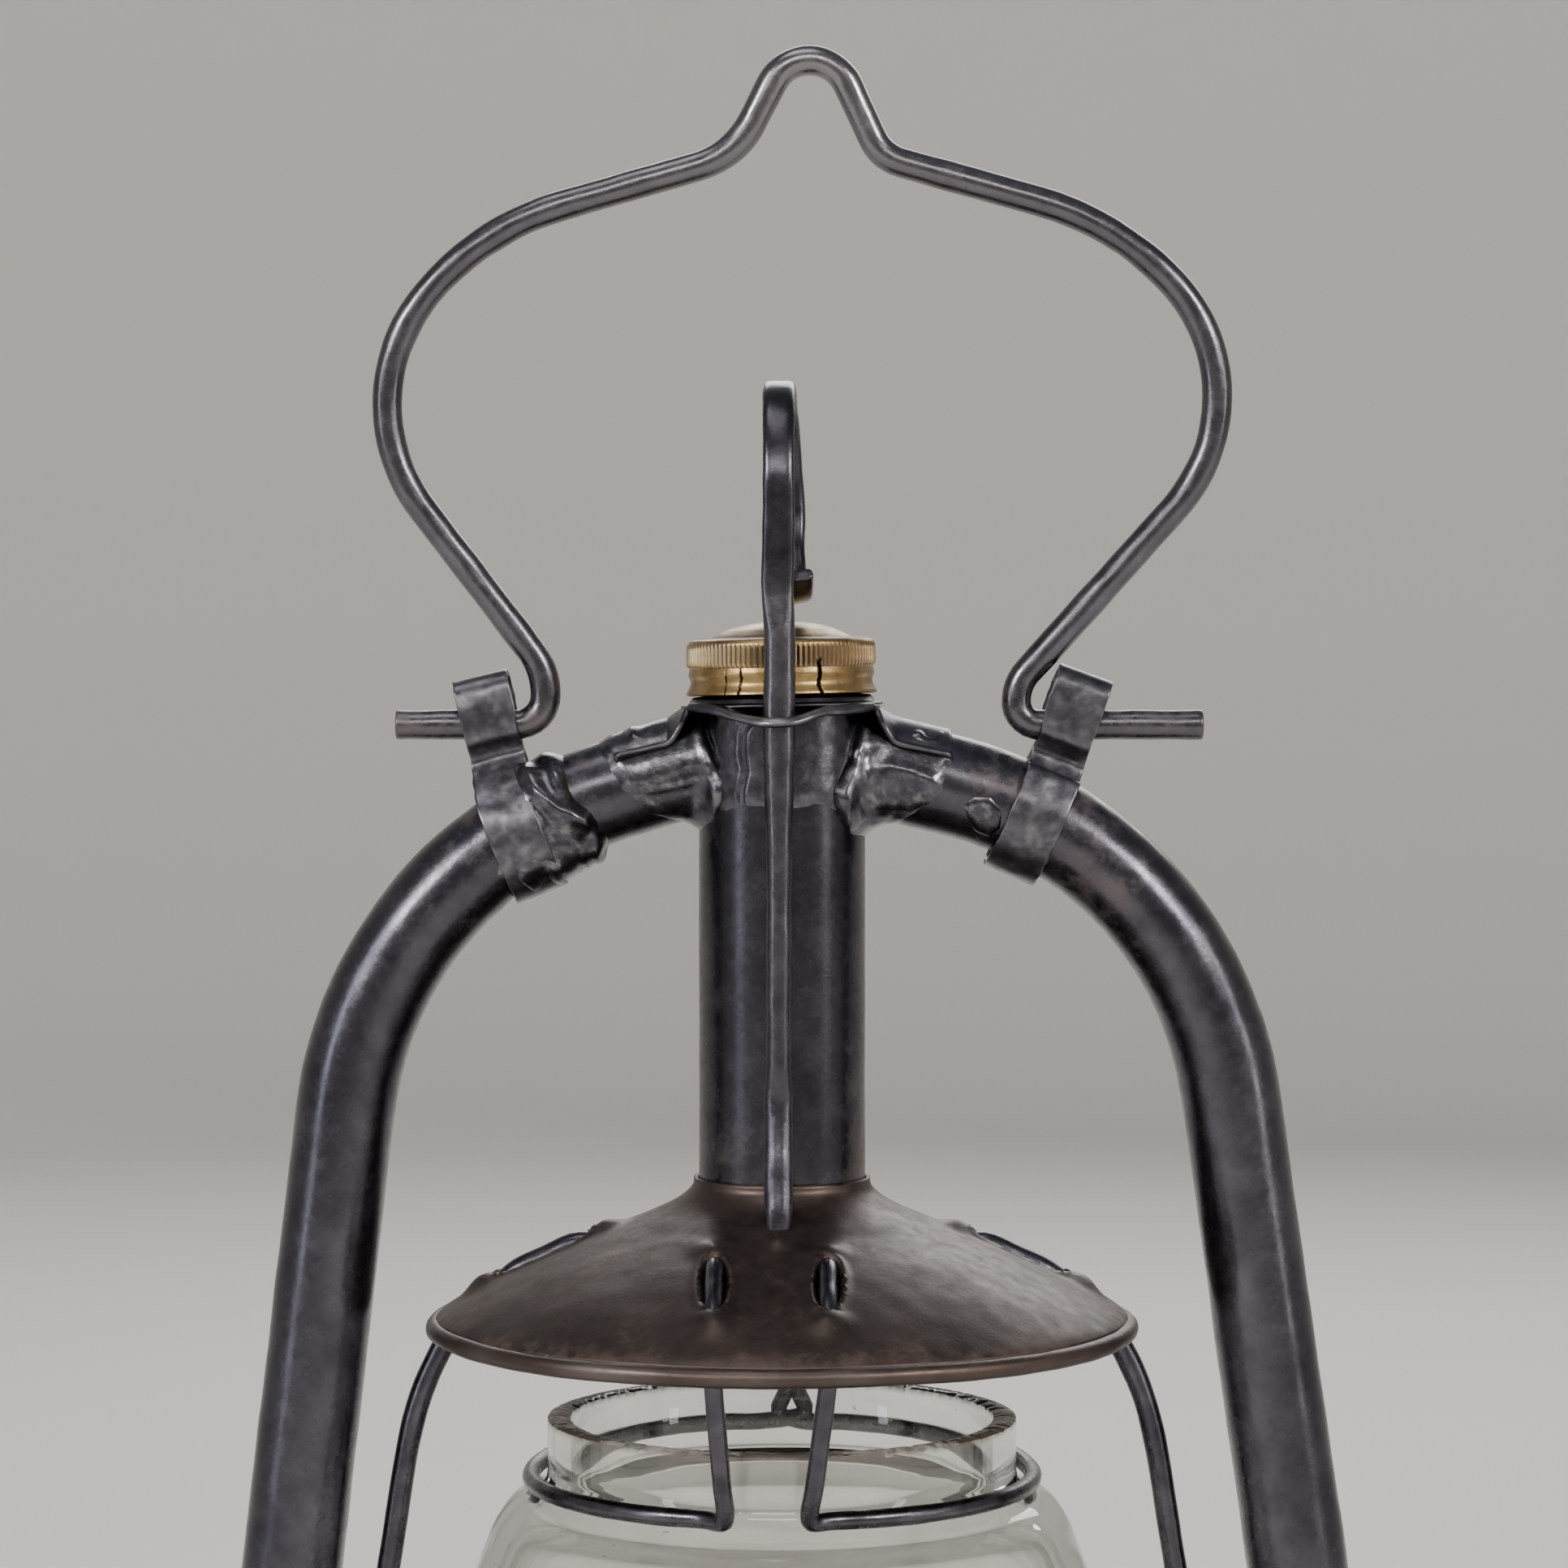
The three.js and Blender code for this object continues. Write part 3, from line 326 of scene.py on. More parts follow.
def woven_cotton(name):
    """Tape of about 1 mm threads: two waves at right angles make the plain weave."""
    made = new_material(name)
    tree = made.node_tree
    place = node(tree, "TexCoord").outputs["Object"]
    axes = node(tree, "SeparateXYZ", {0: place}).outputs
    along = node(tree, "Math", {0: axes[2], 1: math.tau / (1.0 * MM)}, operation="MULTIPLY")
    across = node(tree, "Math", {0: axes[1], 1: math.tau / (1.4 * MM)}, operation="MULTIPLY")
    warp = node(tree, "Math", {0: along.outputs[0]}, operation="SINE")
    weft = node(tree, "Math", {0: across.outputs[0]}, operation="SINE")
    weave = node(tree, "Math", {0: warp.outputs[0], 1: weft.outputs[0]}, operation="MULTIPLY")
    fluff = grain_of(tree, place, 0.8, 4.0)
    burnt = remap(tree, axes[2], 0.0805, 0.0830)
    oiled = remap(tree, axes[2], 0.040, 0.075)
    yarn = blend(tree, oiled, colour("cfc4a8"), colour("a8946b"))
    charred = blend(tree, burnt, yarn, colour("1c1713"))
    height = add_share(tree, fluff, 0.6, weave.outputs[0])
    bump = node(tree, "Bump", {"Strength": 1.0, "Distance": 0.12 * MM, "Height": height})
    shader = node(tree, "BsdfPrincipled", {
        "Base Color": charred, "Roughness": 0.95, "Sheen Weight": 0.3, "Normal": bump.outputs[0],
    })
    node(tree, "OutputMaterial", {"Surface": shader.outputs[0]})
    return made


globe_glass = clear_glass("blown_globe_glass")
leather = oiled_leather("oiled_leather")
cotton = woven_cotton("woven_cotton_tape")
SLOTS = {
    "waxed_steel": [tube_steel, wire_steel, strip_steel, solder], "rusted_steel": [hood_steel],
    "brass": [cap_brass], "globe_glass": [globe_glass], "leather": [leather], "wick_cotton": [cotton],
}
SLOT_OF = {material.name: slot for slot, materials in SLOTS.items() for material in materials}
print(len(SLOT_OF), "materials")

# %% [markdown]
# ## Lines
# Tubes, wires and outlines all start as a line. A hand-bent wire is a row of straights with a round
# bend at each corner, so one function turns corners to arcs. A blown or hammered outline has no
# corners, so another runs a smooth curve through a few points.

# %% Line helpers
def bent(corners, turn=5):
    """Corners (x, y, z, bend radius) joined by straights, with an arc at each inner corner."""
    spots = [Vector(corner[:3]) for corner in corners]
    line = [spots[0]]
    for before, at, after, corner in zip(spots, spots[1:], spots[2:], corners[1:]):
        way, onward = (at - before).normalized(), (after - at).normalized()
        angle = way.angle(onward)
        if angle < 1e-4:
            line.append(at)
            continue
        bend = corner[3]
        start = at - way * bend * math.tan(angle / 2)
        axis = way.cross(onward).normalized()
        centre = start + axis.cross(way) * bend
        steps = max(2, math.ceil(math.degrees(angle) / turn))
        for k in range(steps + 1):
            line.append(centre + Matrix.Rotation(angle * k / steps, 3, axis) @ (start - centre))
    return line + [spots[-1]]


def flowing(points, steps=8):
    """A smooth curve through the points."""
    spots = [Vector(p) for p in points]
    spots = [2 * spots[0] - spots[1]] + spots + [2 * spots[-1] - spots[-2]]
    line = []
    for a, b, c, d in zip(spots, spots[1:], spots[2:], spots[3:]):
        ab, bc, cd = [max((q - p).length, 1e-6) ** 0.5 for p, q in ((a, b), (b, c), (c, d))]
        m1 = ((b - a) / ab - (c - a) / (ab + bc) + (c - b) / bc) * bc
        m2 = ((c - b) / bc - (d - b) / (bc + cd) + (d - c) / cd) * bc
        for k in range(steps):
            t = k / steps
            line.append(
                (2 * t**3 - 3 * t**2 + 1) * b + (t**3 - 2 * t**2 + t) * m1
                + (3 * t**2 - 2 * t**3) * c + (t**3 - t**2) * m2
            )
    return line + [spots[-2]]


def spaced(line, step):
    """Points along the line about step apart, which keep its ends."""
    line = [Vector(p) for p in line]
    along = np.cumsum([0.0] + [(b - a).length for a, b in zip(line, line[1:])])
    wanted = np.linspace(0, along[-1], max(2, round(along[-1] / step) + 1))
    axes = [np.interp(wanted, along, [p[i] for p in line]) for i in range(3)]
    return [Vector(p) for p in zip(*axes)]


def outline(points, round_off=0.25, step=1.5):
    """A [radius, z] outline with its corners rounded a little and its long stretches divided."""
    line = bent([(r, 0, z, round_off) for r, z in points], turn=30)
    made = [line[0]]
    for p in line[1:]:
        pieces = max(1, math.ceil((p - made[-1]).length / step))
        start = made[-1]
        made += [start.lerp(p, (k + 1) / pieces) for k in range(pieces)]
    return made


def wobble(p, grain, seed=0.0):
    """Smooth noise from -1 to 1 that changes about every grain millimetres."""
    return noise.noise(Vector(p) / grain + Vector((seed, 2.3 * seed, 7.1)))


def smoothstep(value, low, high):
    share = min(1.0, max(0.0, (value - low) / (high - low)))
    return share * share * (3 - 2 * share)


print("a right-angle bend gives", len(bent([(0, 0, 0), (10, 0, 0, 4), (10, 0, 10)])), "points")

# %% [markdown]
# ## Solids from lines
# A sweep draws a ring of vertices along a line with extrude, as a draw plate makes wire. Each vertex
# keeps its place on the ring and its distance along the line, so that later steps can find it.
# A spin turns an outline round the lamp's axis, as a lathe or a spinning chuck does.
# Every piece is finished the same way: doubles merged, faces turned outwards, millimetres to metres,
# and then it is given its material and the body that it moves with.

# %% Sweep, spin and finish
def pull(bm, edges):
    """Extrudes edges and gives the new vertices and the new edges between them."""
    grown = bmesh.ops.extrude_edge_only(bm, edges=edges)["geom"]
    ring = [g for g in grown if isinstance(g, bmesh.types.BMVert)]
    fresh = set(ring)
    return ring, [g for g in grown if isinstance(g, bmesh.types.BMEdge) and set(g.verts) <= fresh]


def sweep(line, section, sides=20, tip=0.3):
    """A bmesh drawn along the line. section(distance) gives half width, half depth and squareness."""
    bm = bmesh.new()
    spot = bm.verts.layers.float_vector.new("spot")
    ring = bmesh.ops.create_circle(bm, segments=sides, radius=1)["verts"]
    edges = list(bm.edges)
    for v in ring:
        v[spot] = v.co
    way = (line[1] - line[0]).normalized()
    side = way.cross(Vector((0, 1, 0)))
    if side.length < 0.2:
        side = way.cross(Vector((1, 0, 0)))
    side.normalize()
    distance = 0.0
    for i, at in enumerate(line):
        onward = (line[min(i + 1, len(line) - 1)] - line[max(i - 1, 0)]).normalized()
        side = (way.rotation_difference(onward) @ side).normalized()
        way = onward
        across = way.cross(side)
        if i:
            distance += (at - line[i - 1]).length
            ring, edges = pull(bm, edges)
        wide, deep, square = section(distance)
        for v in ring:
            x, y = v[spot][:2]
            stretch = (abs(x) ** square + abs(y) ** square) ** (-1 / square)
            v.co = at + side * x * wide * stretch + across * y * deep * stretch
            v[spot] = (x, y, distance)
    if tip is not None:
        ends = [e for e in bm.edges if e.is_boundary]
        caps = bmesh.ops.holes_fill(bm, edges=ends)["faces"]
        rims = list({e for face in caps for e in face.edges})
        bmesh.ops.bevel(
            bm, geom=rims, offset=tip, segments=3, profile=0.5, affect="EDGES", material=-1,
            clamp_overlap=True,
        )
    return bm


def spin(line, steps=128, closed=False):
    """A bmesh turned about the lamp's axis from an outline."""
    bm = bmesh.new()
    verts = [bm.verts.new(p) for p in line]
    pairs = list(zip(verts, verts[1:])) + ([(verts[-1], verts[0])] if closed else [])
    edges = [bm.edges.new(pair) for pair in pairs]
    bmesh.ops.spin(
        bm, geom=verts + edges, cent=(0, 0, 0), axis=(0, 0, 1), angle=math.tau, steps=steps, use_merge=True,
        use_duplicate=False,
    )
    bmesh.ops.remove_doubles(bm, verts=bm.verts, dist=0.002)
    return bm


def raise_surface(bm, height):
    """Moves every vertex along its normal by height(place), in millimetres."""
    bmesh.ops.recalc_face_normals(bm, faces=bm.faces)
    bm.normal_update()
    moves = [(v, v.normal * height(v.co)) for v in bm.verts]
    for v, move in moves:
        v.co += move


def uneven(bm, height, grain, seed=0.0):
    raise_surface(bm, lambda p: height * (wobble(p, grain, seed) + 0.4 * wobble(p, grain / 2.7, seed + 5)))


def piece(bm, name, material, nodes=(), body=None, wear_and_light_marks=None, wall=None, sharp=38):
    """Finishes a bmesh as an object. wear_and_light_marks(place) gives rust, polish and soot;
    on a few pieces the polish is a painted highlight and the soot is painted shade.

    wall thickens a sheet inwards.
    """
    bmesh.ops.remove_doubles(bm, verts=bm.verts, dist=0.0005)
    bmesh.ops.recalc_face_normals(bm, faces=bm.faces)
    if wear_and_light_marks:
        wear_and_light = bm.verts.layers.float_vector.new("wear_and_light")
        for v in bm.verts:
            v[wear_and_light] = wear_and_light_marks(v.co)
    bmesh.ops.scale(bm, vec=(MM, MM, MM), verts=bm.verts)
    mesh = bpy.data.meshes.new(name)
    bm.to_mesh(mesh)
    bm.free()
    mesh.shade_smooth()
    mesh.set_sharp_from_angle(angle=math.radians(sharp))
    mesh.materials.append(material)
    made = bpy.data.objects.new(name, mesh)
    scene.collection.objects.link(made)
    if wall:
        thick = made.modifiers.new("wall", "SOLIDIFY")
        thick.thickness = wall * MM
        thick.offset = -1
        thick.use_even_offset = True
    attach(made, body or BODY_OF[nodes[0]])
    if nodes:
        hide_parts(*nodes)
    print(f"{name}: {len(mesh.polygons)} faces")
    return made


# %% [markdown]
# ## Side tubes and centre tube
# The tubes are seamed steel tube, filled with sand and bent by hand, so the section goes a little
# oval in the bends and no stretch is quite straight. They carry the fresh air down to the burner.
# Each is swept along its bent line. At the chamber the wall flares into a small fillet, as the
# solder does. Rust starts where hands and flux have been: near the straps and the joints.

# %% Tubes
def tube_line(side, waist, lean, rise, bend, top, fall):
    """The corners of a side tube from the chamber wall to the centre tube."""
    up = Vector((-math.sin(math.radians(lean)), 0, math.cos(math.radians(lean))))
    inward = Vector((-math.sin(math.radians(top)), 0, math.cos(math.radians(top))))
    level = Vector((-math.cos(math.radians(LOWER_DIP)), 0, -math.sin(math.radians(LOWER_DIP))))
    at = Vector((waist, 0, WAIST_Z))
    upper = at + up * (rise + bend * math.tan(math.radians(top - lean) / 2))
    lower = at - up * (fall + LOWER_BEND * math.tan(math.radians(90 - LOWER_DIP + lean) / 2))
    foot = lower + level * ((lower.x - CHAMBER_RADIUS + 0.6) / -level.x)
    end = upper + inward * ((upper.x - 10.5) / math.sin(math.radians(top)))
    corners = [(*foot, 0), (*lower, LOWER_BEND), (*upper, bend), (*end, 0)]
    return [(side * x, y, z, r) for x, y, z, r in corners]


def tube_rust(p):
    """Rust, polish and soot on a tube at a place."""
    x = abs(p[0])
    near_strap = smoothstep(x, 22, 30) * (1 - smoothstep(x, 50, 66)) * smoothstep(p[2], 262, 285)
    low = 1 - smoothstep(p[2], 60, 110)
    return (0.26 * near_strap + 0.12 * low, 0.0, 0.25 * (1 - smoothstep(x, 12, 17)))


def side_tube(name, tube, node_name):
    line = spaced(bent(tube_line(**tube)), 1.6)
    long = sum((b - a).length for a, b in zip(line, line[1:]))

    def section(distance):
        flare = 1.8 * (1 - smoothstep(distance, 0, 3.2)) ** 2
        dent = 0.10 * wobble((distance, 3 * tube["side"], 0), 23) + 0.05 * wobble((distance, 9, 0), 6)
        bend = smoothstep(distance, long * 0.55, long * 0.72) * (
            1 - smoothstep(distance, long * 0.83, long * 0.95)
        )
        oval = 0.16 * bend
        return TUBE_RADIUS + flare + dent - oval, TUBE_RADIUS + flare + dent + oval, 2.0

    bm = sweep(line, section, sides=56, tip=None)
    uneven(bm, 0.11, 13, seed=4 * tube["side"])
    piece(bm, name, tube_steel, [node_name], wear_and_light_marks=tube_rust, wall=TUBE_WALL)
    print(f"{name} is {long:.0f} mm long")


side_tube("air_tube_left", LEFT_TUBE, "side_tube_left")
side_tube("air_tube_right", RIGHT_TUBE, "side_tube_right")

bm = spin(outline([(CENTRE_RADIUS, CENTRE_BOTTOM), (CENTRE_RADIUS, CENTRE_TOP)], step=1.2), 112)
uneven(bm, 0.07, 15, seed=2)


# Soot on the chimney all over, and rust low down and at the sides; the soot's rise towards the top, under
# the guide plate, is painted shade.
def centre_rust_and_shade(p):
    low = 1 - smoothstep(p[2], 243, 262)
    edge = smoothstep(abs(p[0]), 8, 12.5)
    return (0.14 + 0.12 * low + 0.14 * edge, 0.0, 0.35 + 0.15 * smoothstep(p[2], 306, 314))


piece(bm, "chimney_tube", tube_steel, ["centre_tube"], wear_and_light_marks=centre_rust_and_shade, wall=SHEET)

# %% [markdown]
# ## Relief: patches, ridges and drops
# The soldered joints are the most hand-made part of the lamp: scraps of sheet were laid over the
# seams and flooded with solder, which froze in runs and drops.
# Their relief is built as a height over a plain surface. A patch is a flat outline seen from the
# front with a ragged edge, a ridge follows a line of points, and a drop is a rounded heap.
# A height below zero sinks under the tube, so the edge of a patch shows as a real step.

# %% Relief helpers
def off_segment(x, z, start, end):
    """How far (x, z) is from a straight piece of outline."""
    wx, wz = end[0] - start[0], end[1] - start[1]
    t = min(1.0, max(0.0, ((x - start[0]) * wx + (z - start[1]) * wz) / (wx * wx + wz * wz)))
    return math.hypot(x - start[0] - t * wx, z - start[1] - t * wz)


def inside(p, corners):
    """How far p is inside a flat outline of (x, z) corners, or minus how far it is outside."""
    x, z = p[0], p[2]
    nearest, within = 1e9, False
    for (x0, z0), (x1, z1) in zip(corners, corners[1:] + corners[:1]):
        nearest = min(nearest, off_segment(x, z, (x0, z0), (x1, z1)))
        if (z0 > z) != (z1 > z) and x < x0 + (z - z0) * (x1 - x0) / (z1 - z0):
            within = not within
    return nearest if within else -nearest


def patch(p, corners, high, edge=0.35, ragged=0.35):
    reach = inside(p, corners) + ragged * wobble(p, 1.7, 3) + 0.5 * ragged * wobble(p, 0.6, 8)
    return high * smoothstep(reach, -edge, edge)


def ridge(p, points, high, wide):
    x, z = p[0], p[2]
    best = 0.0
    for start, end in zip(points, points[1:]):
        away = off_segment(x, z, start, end)
        best = max(best, math.exp(-((away / wide) ** 2)))
    return high * best


def drop(p, x, z, radius, high):
    away = ((p[0] - x) ** 2 + (p[2] - z) ** 2) / radius**2
    return high * math.sqrt(1 - away) if away < 1 else 0.0


print(
    "a patch 0.5 mm high is", round(patch((1, 0, 1), [(0, 0), (4, 0), (4, 4), (0, 4)], 0.5), 2),
    "high near its edge",
)

# %% [markdown]
# ## Soldered joints at the top of the side tubes
# A sleeve just under the tube's surface is swept from the centre tube to past the ear strap, and the
# relief lifts it through the surface wherever there is solder or a scrap of sheet.
# Where the sleeve nears the centre tube it climbs in a hollow curve, because solder pulls itself into
# a fillet. The back of the joint gets a plainer version, with the same fillet and fewer drops.

# %% Joint sleeves
SUNK = -0.55


def joint_heights_left(p):
    """Solder on the left joint: a torn patch by the centre tube and a thick mass beside the strap."""
    torn = [(-12, 306), (-22.3, 303.2), (-23.6, 304.6), (-25.2, 307.2), (-29.8, 308.7), (-28, 310.6),
            (-24.9, 311.2), (-24.6, 313), (-15, 317), (-8, 318), (-8, 306)]
    fold = [(-12, 305.6), (-22.4, 303.2), (-20, 302.2), (-12, 303.9)]
    mass = [(-38.5, 313), (-36.5, 311.5), (-34.2, 309.2), (-32.9, 307), (-32.6, 304.3), (-31.6, 301.6),
            (-29.4, 299.2), (-27.8, 298), (-27.2, 296.5), (-26, 293), (-30, 290), (-37, 287), (-42, 290),
            (-41, 303)]
    skin = [(-8, 296), (-8, 320), (-20, 318), (-26, 313), (-27, 308), (-24.5, 303), (-19, 298.5)]
    front = smoothstep(-p[1], -4.5, 0.5)
    high = SUNK
    if front > 0:
        lift = patch(p, skin, 0.8, edge=1.3) + patch(p, torn, 0.45) + patch(p, fold, 0.4, edge=0.4)
        lift += patch(p, mass, 1.6, edge=1.1, ragged=0.5)
        lift += ridge(
            p, [(-38.8, 304.7), (-37.3, 304.2), (-36, 301.8), (-33, 299.6), (-29.3, 298.6)], 1.1, 1.0,
        )
        lift += ridge(p, [(-33.2, 304.5), (-32.4, 302), (-30.4, 299.4)], 0.4, 0.8)
        lift -= ridge(p, [(-36.2, 299.8), (-34.2, 297.2), (-34.3, 293.5)], 0.6, 1.0)
        lift += (
            drop(p, -22.1, 310.4, 1.0, 0.6) + drop(p, -35.9, 307.5, 1.6, 0.7)
            + drop(p, -27.8, 294.8, 1.9, 0.8)
        )
        lift += (
            drop(p, -32.5, 292.2, 3.4, 1.2) + drop(p, -28.8, 293.6, 1.8, 0.8)
            + drop(p, -36.4, 290.5, 3.4, 0.9)
        )
        high += front * lift
    back = [(-8, 301), (-21, 300), (-25, 304), (-24, 310), (-16, 314), (-8, 316)]
    high += (1 - front) * (patch(p, back, 1.1) + drop(p, -33, 300, 3.5, 1.7) + drop(p, -36, 296, 3, 1.5))
    return high


def joint_heights_right(p):
    """Solder on the right joint: a leaf of sheet, a dull oval and a second layer behind the strap."""
    leaf = [(10, 306.4), (14, 306.6), (18.2, 306), (22, 304.6), (23.6, 303.2), (24.1, 301.8), (23, 300.2),
            (18.9, 299.5), (12.4, 301.2), (9, 303)]
    top = [
        (8, 306), (13, 308.6), (18, 309.6), (20, 309.8), (22.6, 311.2), (25.8, 311.6), (22, 317), (8, 318),
    ]
    oval = [(26.6, 300.5), (28.6, 301.9), (31, 301.9), (33, 300), (32.6, 297), (30.8, 295.2), (28.2, 296.8)]
    under = [(40.6, 304.6), (42.5, 302.4), (42.2, 299), (39.6, 291.6), (37, 288.5), (34, 290), (38, 300)]
    skin = [(8, 294), (8, 320), (20, 316), (25.5, 312), (24.5, 304), (19.5, 298.5), (15, 296)]
    front = smoothstep(-p[1], -4.5, 0.5)
    high = SUNK
    if front > 0:
        lift = (
            patch(p, skin, 0.8, edge=1.3) + patch(p, top, 0.3) + patch(p, leaf, 0.3, edge=0.4, ragged=0.12)
        )
        lift += ridge(p, [(16, 306.4), (19.5, 305.6), (22.4, 304.3), (23.6, 302.8)], 0.4, 0.6)
        lift += patch(p, oval, 0.8, edge=0.8) + patch(p, under, 0.95, edge=0.3)
        lift += ridge(p, [(20.2, 310.4), (21.4, 309.6), (23, 309.7), (23.8, 310.6)], 0.7, 0.55)
        lift += drop(p, 24.8, 307.3, 0.9, 0.8) + drop(p, 14.8, 300.6, 2.4, 0.4)
        high += front * lift
    back = [(8, 300), (18, 299), (24, 302), (23, 309), (15, 313), (8, 316)]
    high += (1 - front) * (patch(p, back, 1.1) + drop(p, 34, 301, 3.2, 1.6) + drop(p, 20, 308, 1.2, 0.9))
    return high


def fillet(p, radius):
    """The height of a solder fillet on a side tube as it nears the centre tube."""
    away = max(0.0, math.hypot(p[0], p[1]) - CENTRE_RADIUS)
    if away >= radius:
        return 0.0
    return radius - math.sqrt(radius**2 - (radius - away) ** 2)


def joint_sleeve(name, tube, node_name, heights, low_fillet):
    whole = spaced(bent(tube_line(**tube)), 0.36)
    line = [p for p in whole if p.z > 270 and abs(p.x) < 55][::-1]
    line = [p for p in line if abs(p.x) > 10.6]
    bm = sweep(line, lambda distance: (TUBE_RADIUS, TUBE_RADIUS, 2.0), sides=132)

    def height(p):
        below = smoothstep(line_height(p, tube) - p[2], -4, 6)
        curve = fillet(p, 2.4 + (low_fillet - 2.4) * below)
        lumps = 0.10 * wobble(p, 2.2, 6) + 0.06 * wobble(p, 0.8, 1)
        raised = heights(p)
        return raised + curve + 0.3 * smoothstep(curve, 0.05, 0.8) + lumps

    # The third number darkens the solder towards the top, under the guide plate: painted shade, over a
    # little soot everywhere.
    def wear_and_light_marks(p):
        edge = wobble(p, 1.3, 12)
        rough = wobble(p, 0.45, 4)
        return (0.0, max(0.0, 0.35 * edge + 0.25 * rough), 0.35 * smoothstep(p[2], 308, 314) + 0.1)

    raise_surface(bm, height)
    for _ in range(5):
        bmesh.ops.smooth_vert(
            bm, verts=[v for v in bm.verts if not v.is_boundary], factor=0.5, use_axis_x=True,
            use_axis_y=True, use_axis_z=True,
        )
    piece(bm, name, solder, [node_name], wear_and_light_marks=wear_and_light_marks, sharp=60)


def line_height(p, tube):
    """The height of a side tube's centre line above a place near its top."""
    top = math.radians(tube["top"])
    end = tube_line(**tube)[-1]
    return end[2] - (abs(p[0]) - abs(end[0])) / math.tan(top)


joint_sleeve("joint_solder_left", LEFT_TUBE, "joint_saddle_left", joint_heights_left, 3.0)
joint_sleeve("joint_solder_right", RIGHT_TUBE, "joint_saddle_right", joint_heights_right, 4.6)

# %% [markdown]
# ## Solder on the centre tube
# Thin sheet from both joints runs onto the front of the centre tube and stops in a torn edge that
# looks like a hairline crack. A second skin, spun just under the tube's surface, is lifted there.

# %% Centre tube skin
CRACK = [(-3.6, 316), (-3.9, 313.6), (-5.6, 311.2), (-5.7, 308), (-5.2, 305.6), (-6.0, 302.2), (-5.8, 300)]


def centre_heights(p):
    """A coat that thins out downwards, with a hairline crack at the front and a lip beside it."""
    low = 299 - 3.5 * (abs(p[0]) / CENTRE_RADIUS) ** 2 + 1.2 * wobble(p, 5, 7)
    coat = SUNK + 0.78 * smoothstep(p[2], low - 1.5, low + 4)
    if p[1] < 0:
        coat -= ridge(p, CRACK, 0.42, 0.28)
        coat += ridge(p, [(x - 0.7, z) for x, z in CRACK], 0.14, 0.5)
    return coat


bm = spin(spaced([(CENTRE_RADIUS, 0, 290), (CENTRE_RADIUS, 0, CENTRE_TOP)], 0.4), 220)
raise_surface(bm, lambda p: centre_heights(p) + 0.05 * wobble(p, 1.5))
# The third number darkens the skin towards the top, under the guide plate: painted shade.
piece(
    bm, "joint_solder_centre", solder, body="frame", wall=0.4, sharp=60,
    wear_and_light_marks=lambda p: (0.05, 0.12 * max(0, wobble(p, 1.2, 2)), 0.3 * smoothstep(p.z, 306, 314)),
)

# %% [markdown]
# ## Guide plate
# One thin sheet was laid over the top of the centre tube and dressed down with a mallet. It runs out
# into two square-ended tabs that drape over the side tubes, and a wavy lip at the front guides the
# lift rod. It starts as a spun disc, whose rim is moved out to the plate's outline and whose height
# then follows the tubes, as the sheet did.

# %% Guide plate
PLATE_Z = CENTRE_TOP + GAP + 0.2


def plate_reach(angle):
    """The plate's outline: distance from the axis at an angle from the front, anticlockwise."""
    x, y = math.sin(angle), -math.cos(angle)
    front = smoothstep(-y, 0.35, 1.0)
    oval = 14.6 + 2.4 * smoothstep(-y, -0.2, 0.5) - 1.2 * smoothstep(y, 0.4, 1)
    oval += 4.0 * math.exp(-(((angle + math.pi) % math.tau - math.pi) / 0.36) ** 2) * front
    long, half = (25.4, 7.3) if x > 0 else (25.0, 7.5)
    tab = min(long / max(abs(x), 1e-6), half / max(abs(y), 1e-6))
    return max(oval, tab)


def plate_height(x, y):
    tube = RIGHT_TUBE if x > 0 else LEFT_TUBE
    axis = line_height((x, 0, 0), tube)
    over = (
        axis + math.sqrt(max(0.5, (TUBE_RADIUS + 0.65) ** 2 - y * y)) / math.sin(math.radians(tube["top"]))
    )
    flat = PLATE_Z + SHEET
    wave = 1.0 - math.exp(-(((x - ROD_X + 1) / 7.2) ** 2))
    lip = smoothstep(-y, 10.5, 15.5)
    flat += lip * (-2.1 + 2.0 * wave + 0.25 * wobble((x, 0, 0), 4.0, 2))
    flat += 0.12 * wobble((x, y, 0), 5, 4)
    out = smoothstep(abs(x), 12.8, 17.5) * smoothstep(y, -9.5, -6.5)
    return flat * (1 - out) + min(over, flat + 0.4) * out


bm = spin([(11.2 + k * 0.5, 0, 0) for k in range(30)], 480)
for v in bm.verts:
    reach = math.hypot(v.co.x, v.co.y)
    angle = math.atan2(v.co.x, -v.co.y)
    share = (reach - 11.2) / (29 * 0.5)
    new = 11.2 + (plate_reach(angle) - 11.2 + 0.12 * wobble((9 * angle, 0, 0), 1.0, 5)) * share
    x, y = new * math.sin(angle), -new * math.cos(angle)
    fold = 0.95 * smoothstep(share, 0.91, 1.0) * smoothstep(-y, 6, 11)
    v.co = (x, y, plate_height(x, y) - fold)
near_rod = [v for v in bm.verts if math.hypot(v.co.x - ROD_X, v.co.y - ROD_Y) < 2.2]
bmesh.ops.delete(bm, geom=near_rod, context="VERTS")
for v in bm.verts:
    away = Vector((v.co.x - ROD_X, v.co.y - ROD_Y))
    if v.is_boundary and away.length < 3.2:
        away = away.normalized() * 2.5
        v.co.x, v.co.y = ROD_X + away.x, ROD_Y + away.y


def plate_wear_and_highlight(p):
    # The front lip gets the polish colour: a painted highlight along its edge.
    rim = smoothstep(-p[1], 13.5, 16.8) * (0.55 + 0.45 * wobble(p, 2.5, 3))
    return (0.18, 0.5 * max(0, rim), 0.1)


piece(bm, "guide_plate_sheet", strip_steel, ["guide_plate"], wear_and_light_marks=plate_wear_and_highlight, wall=SHEET)

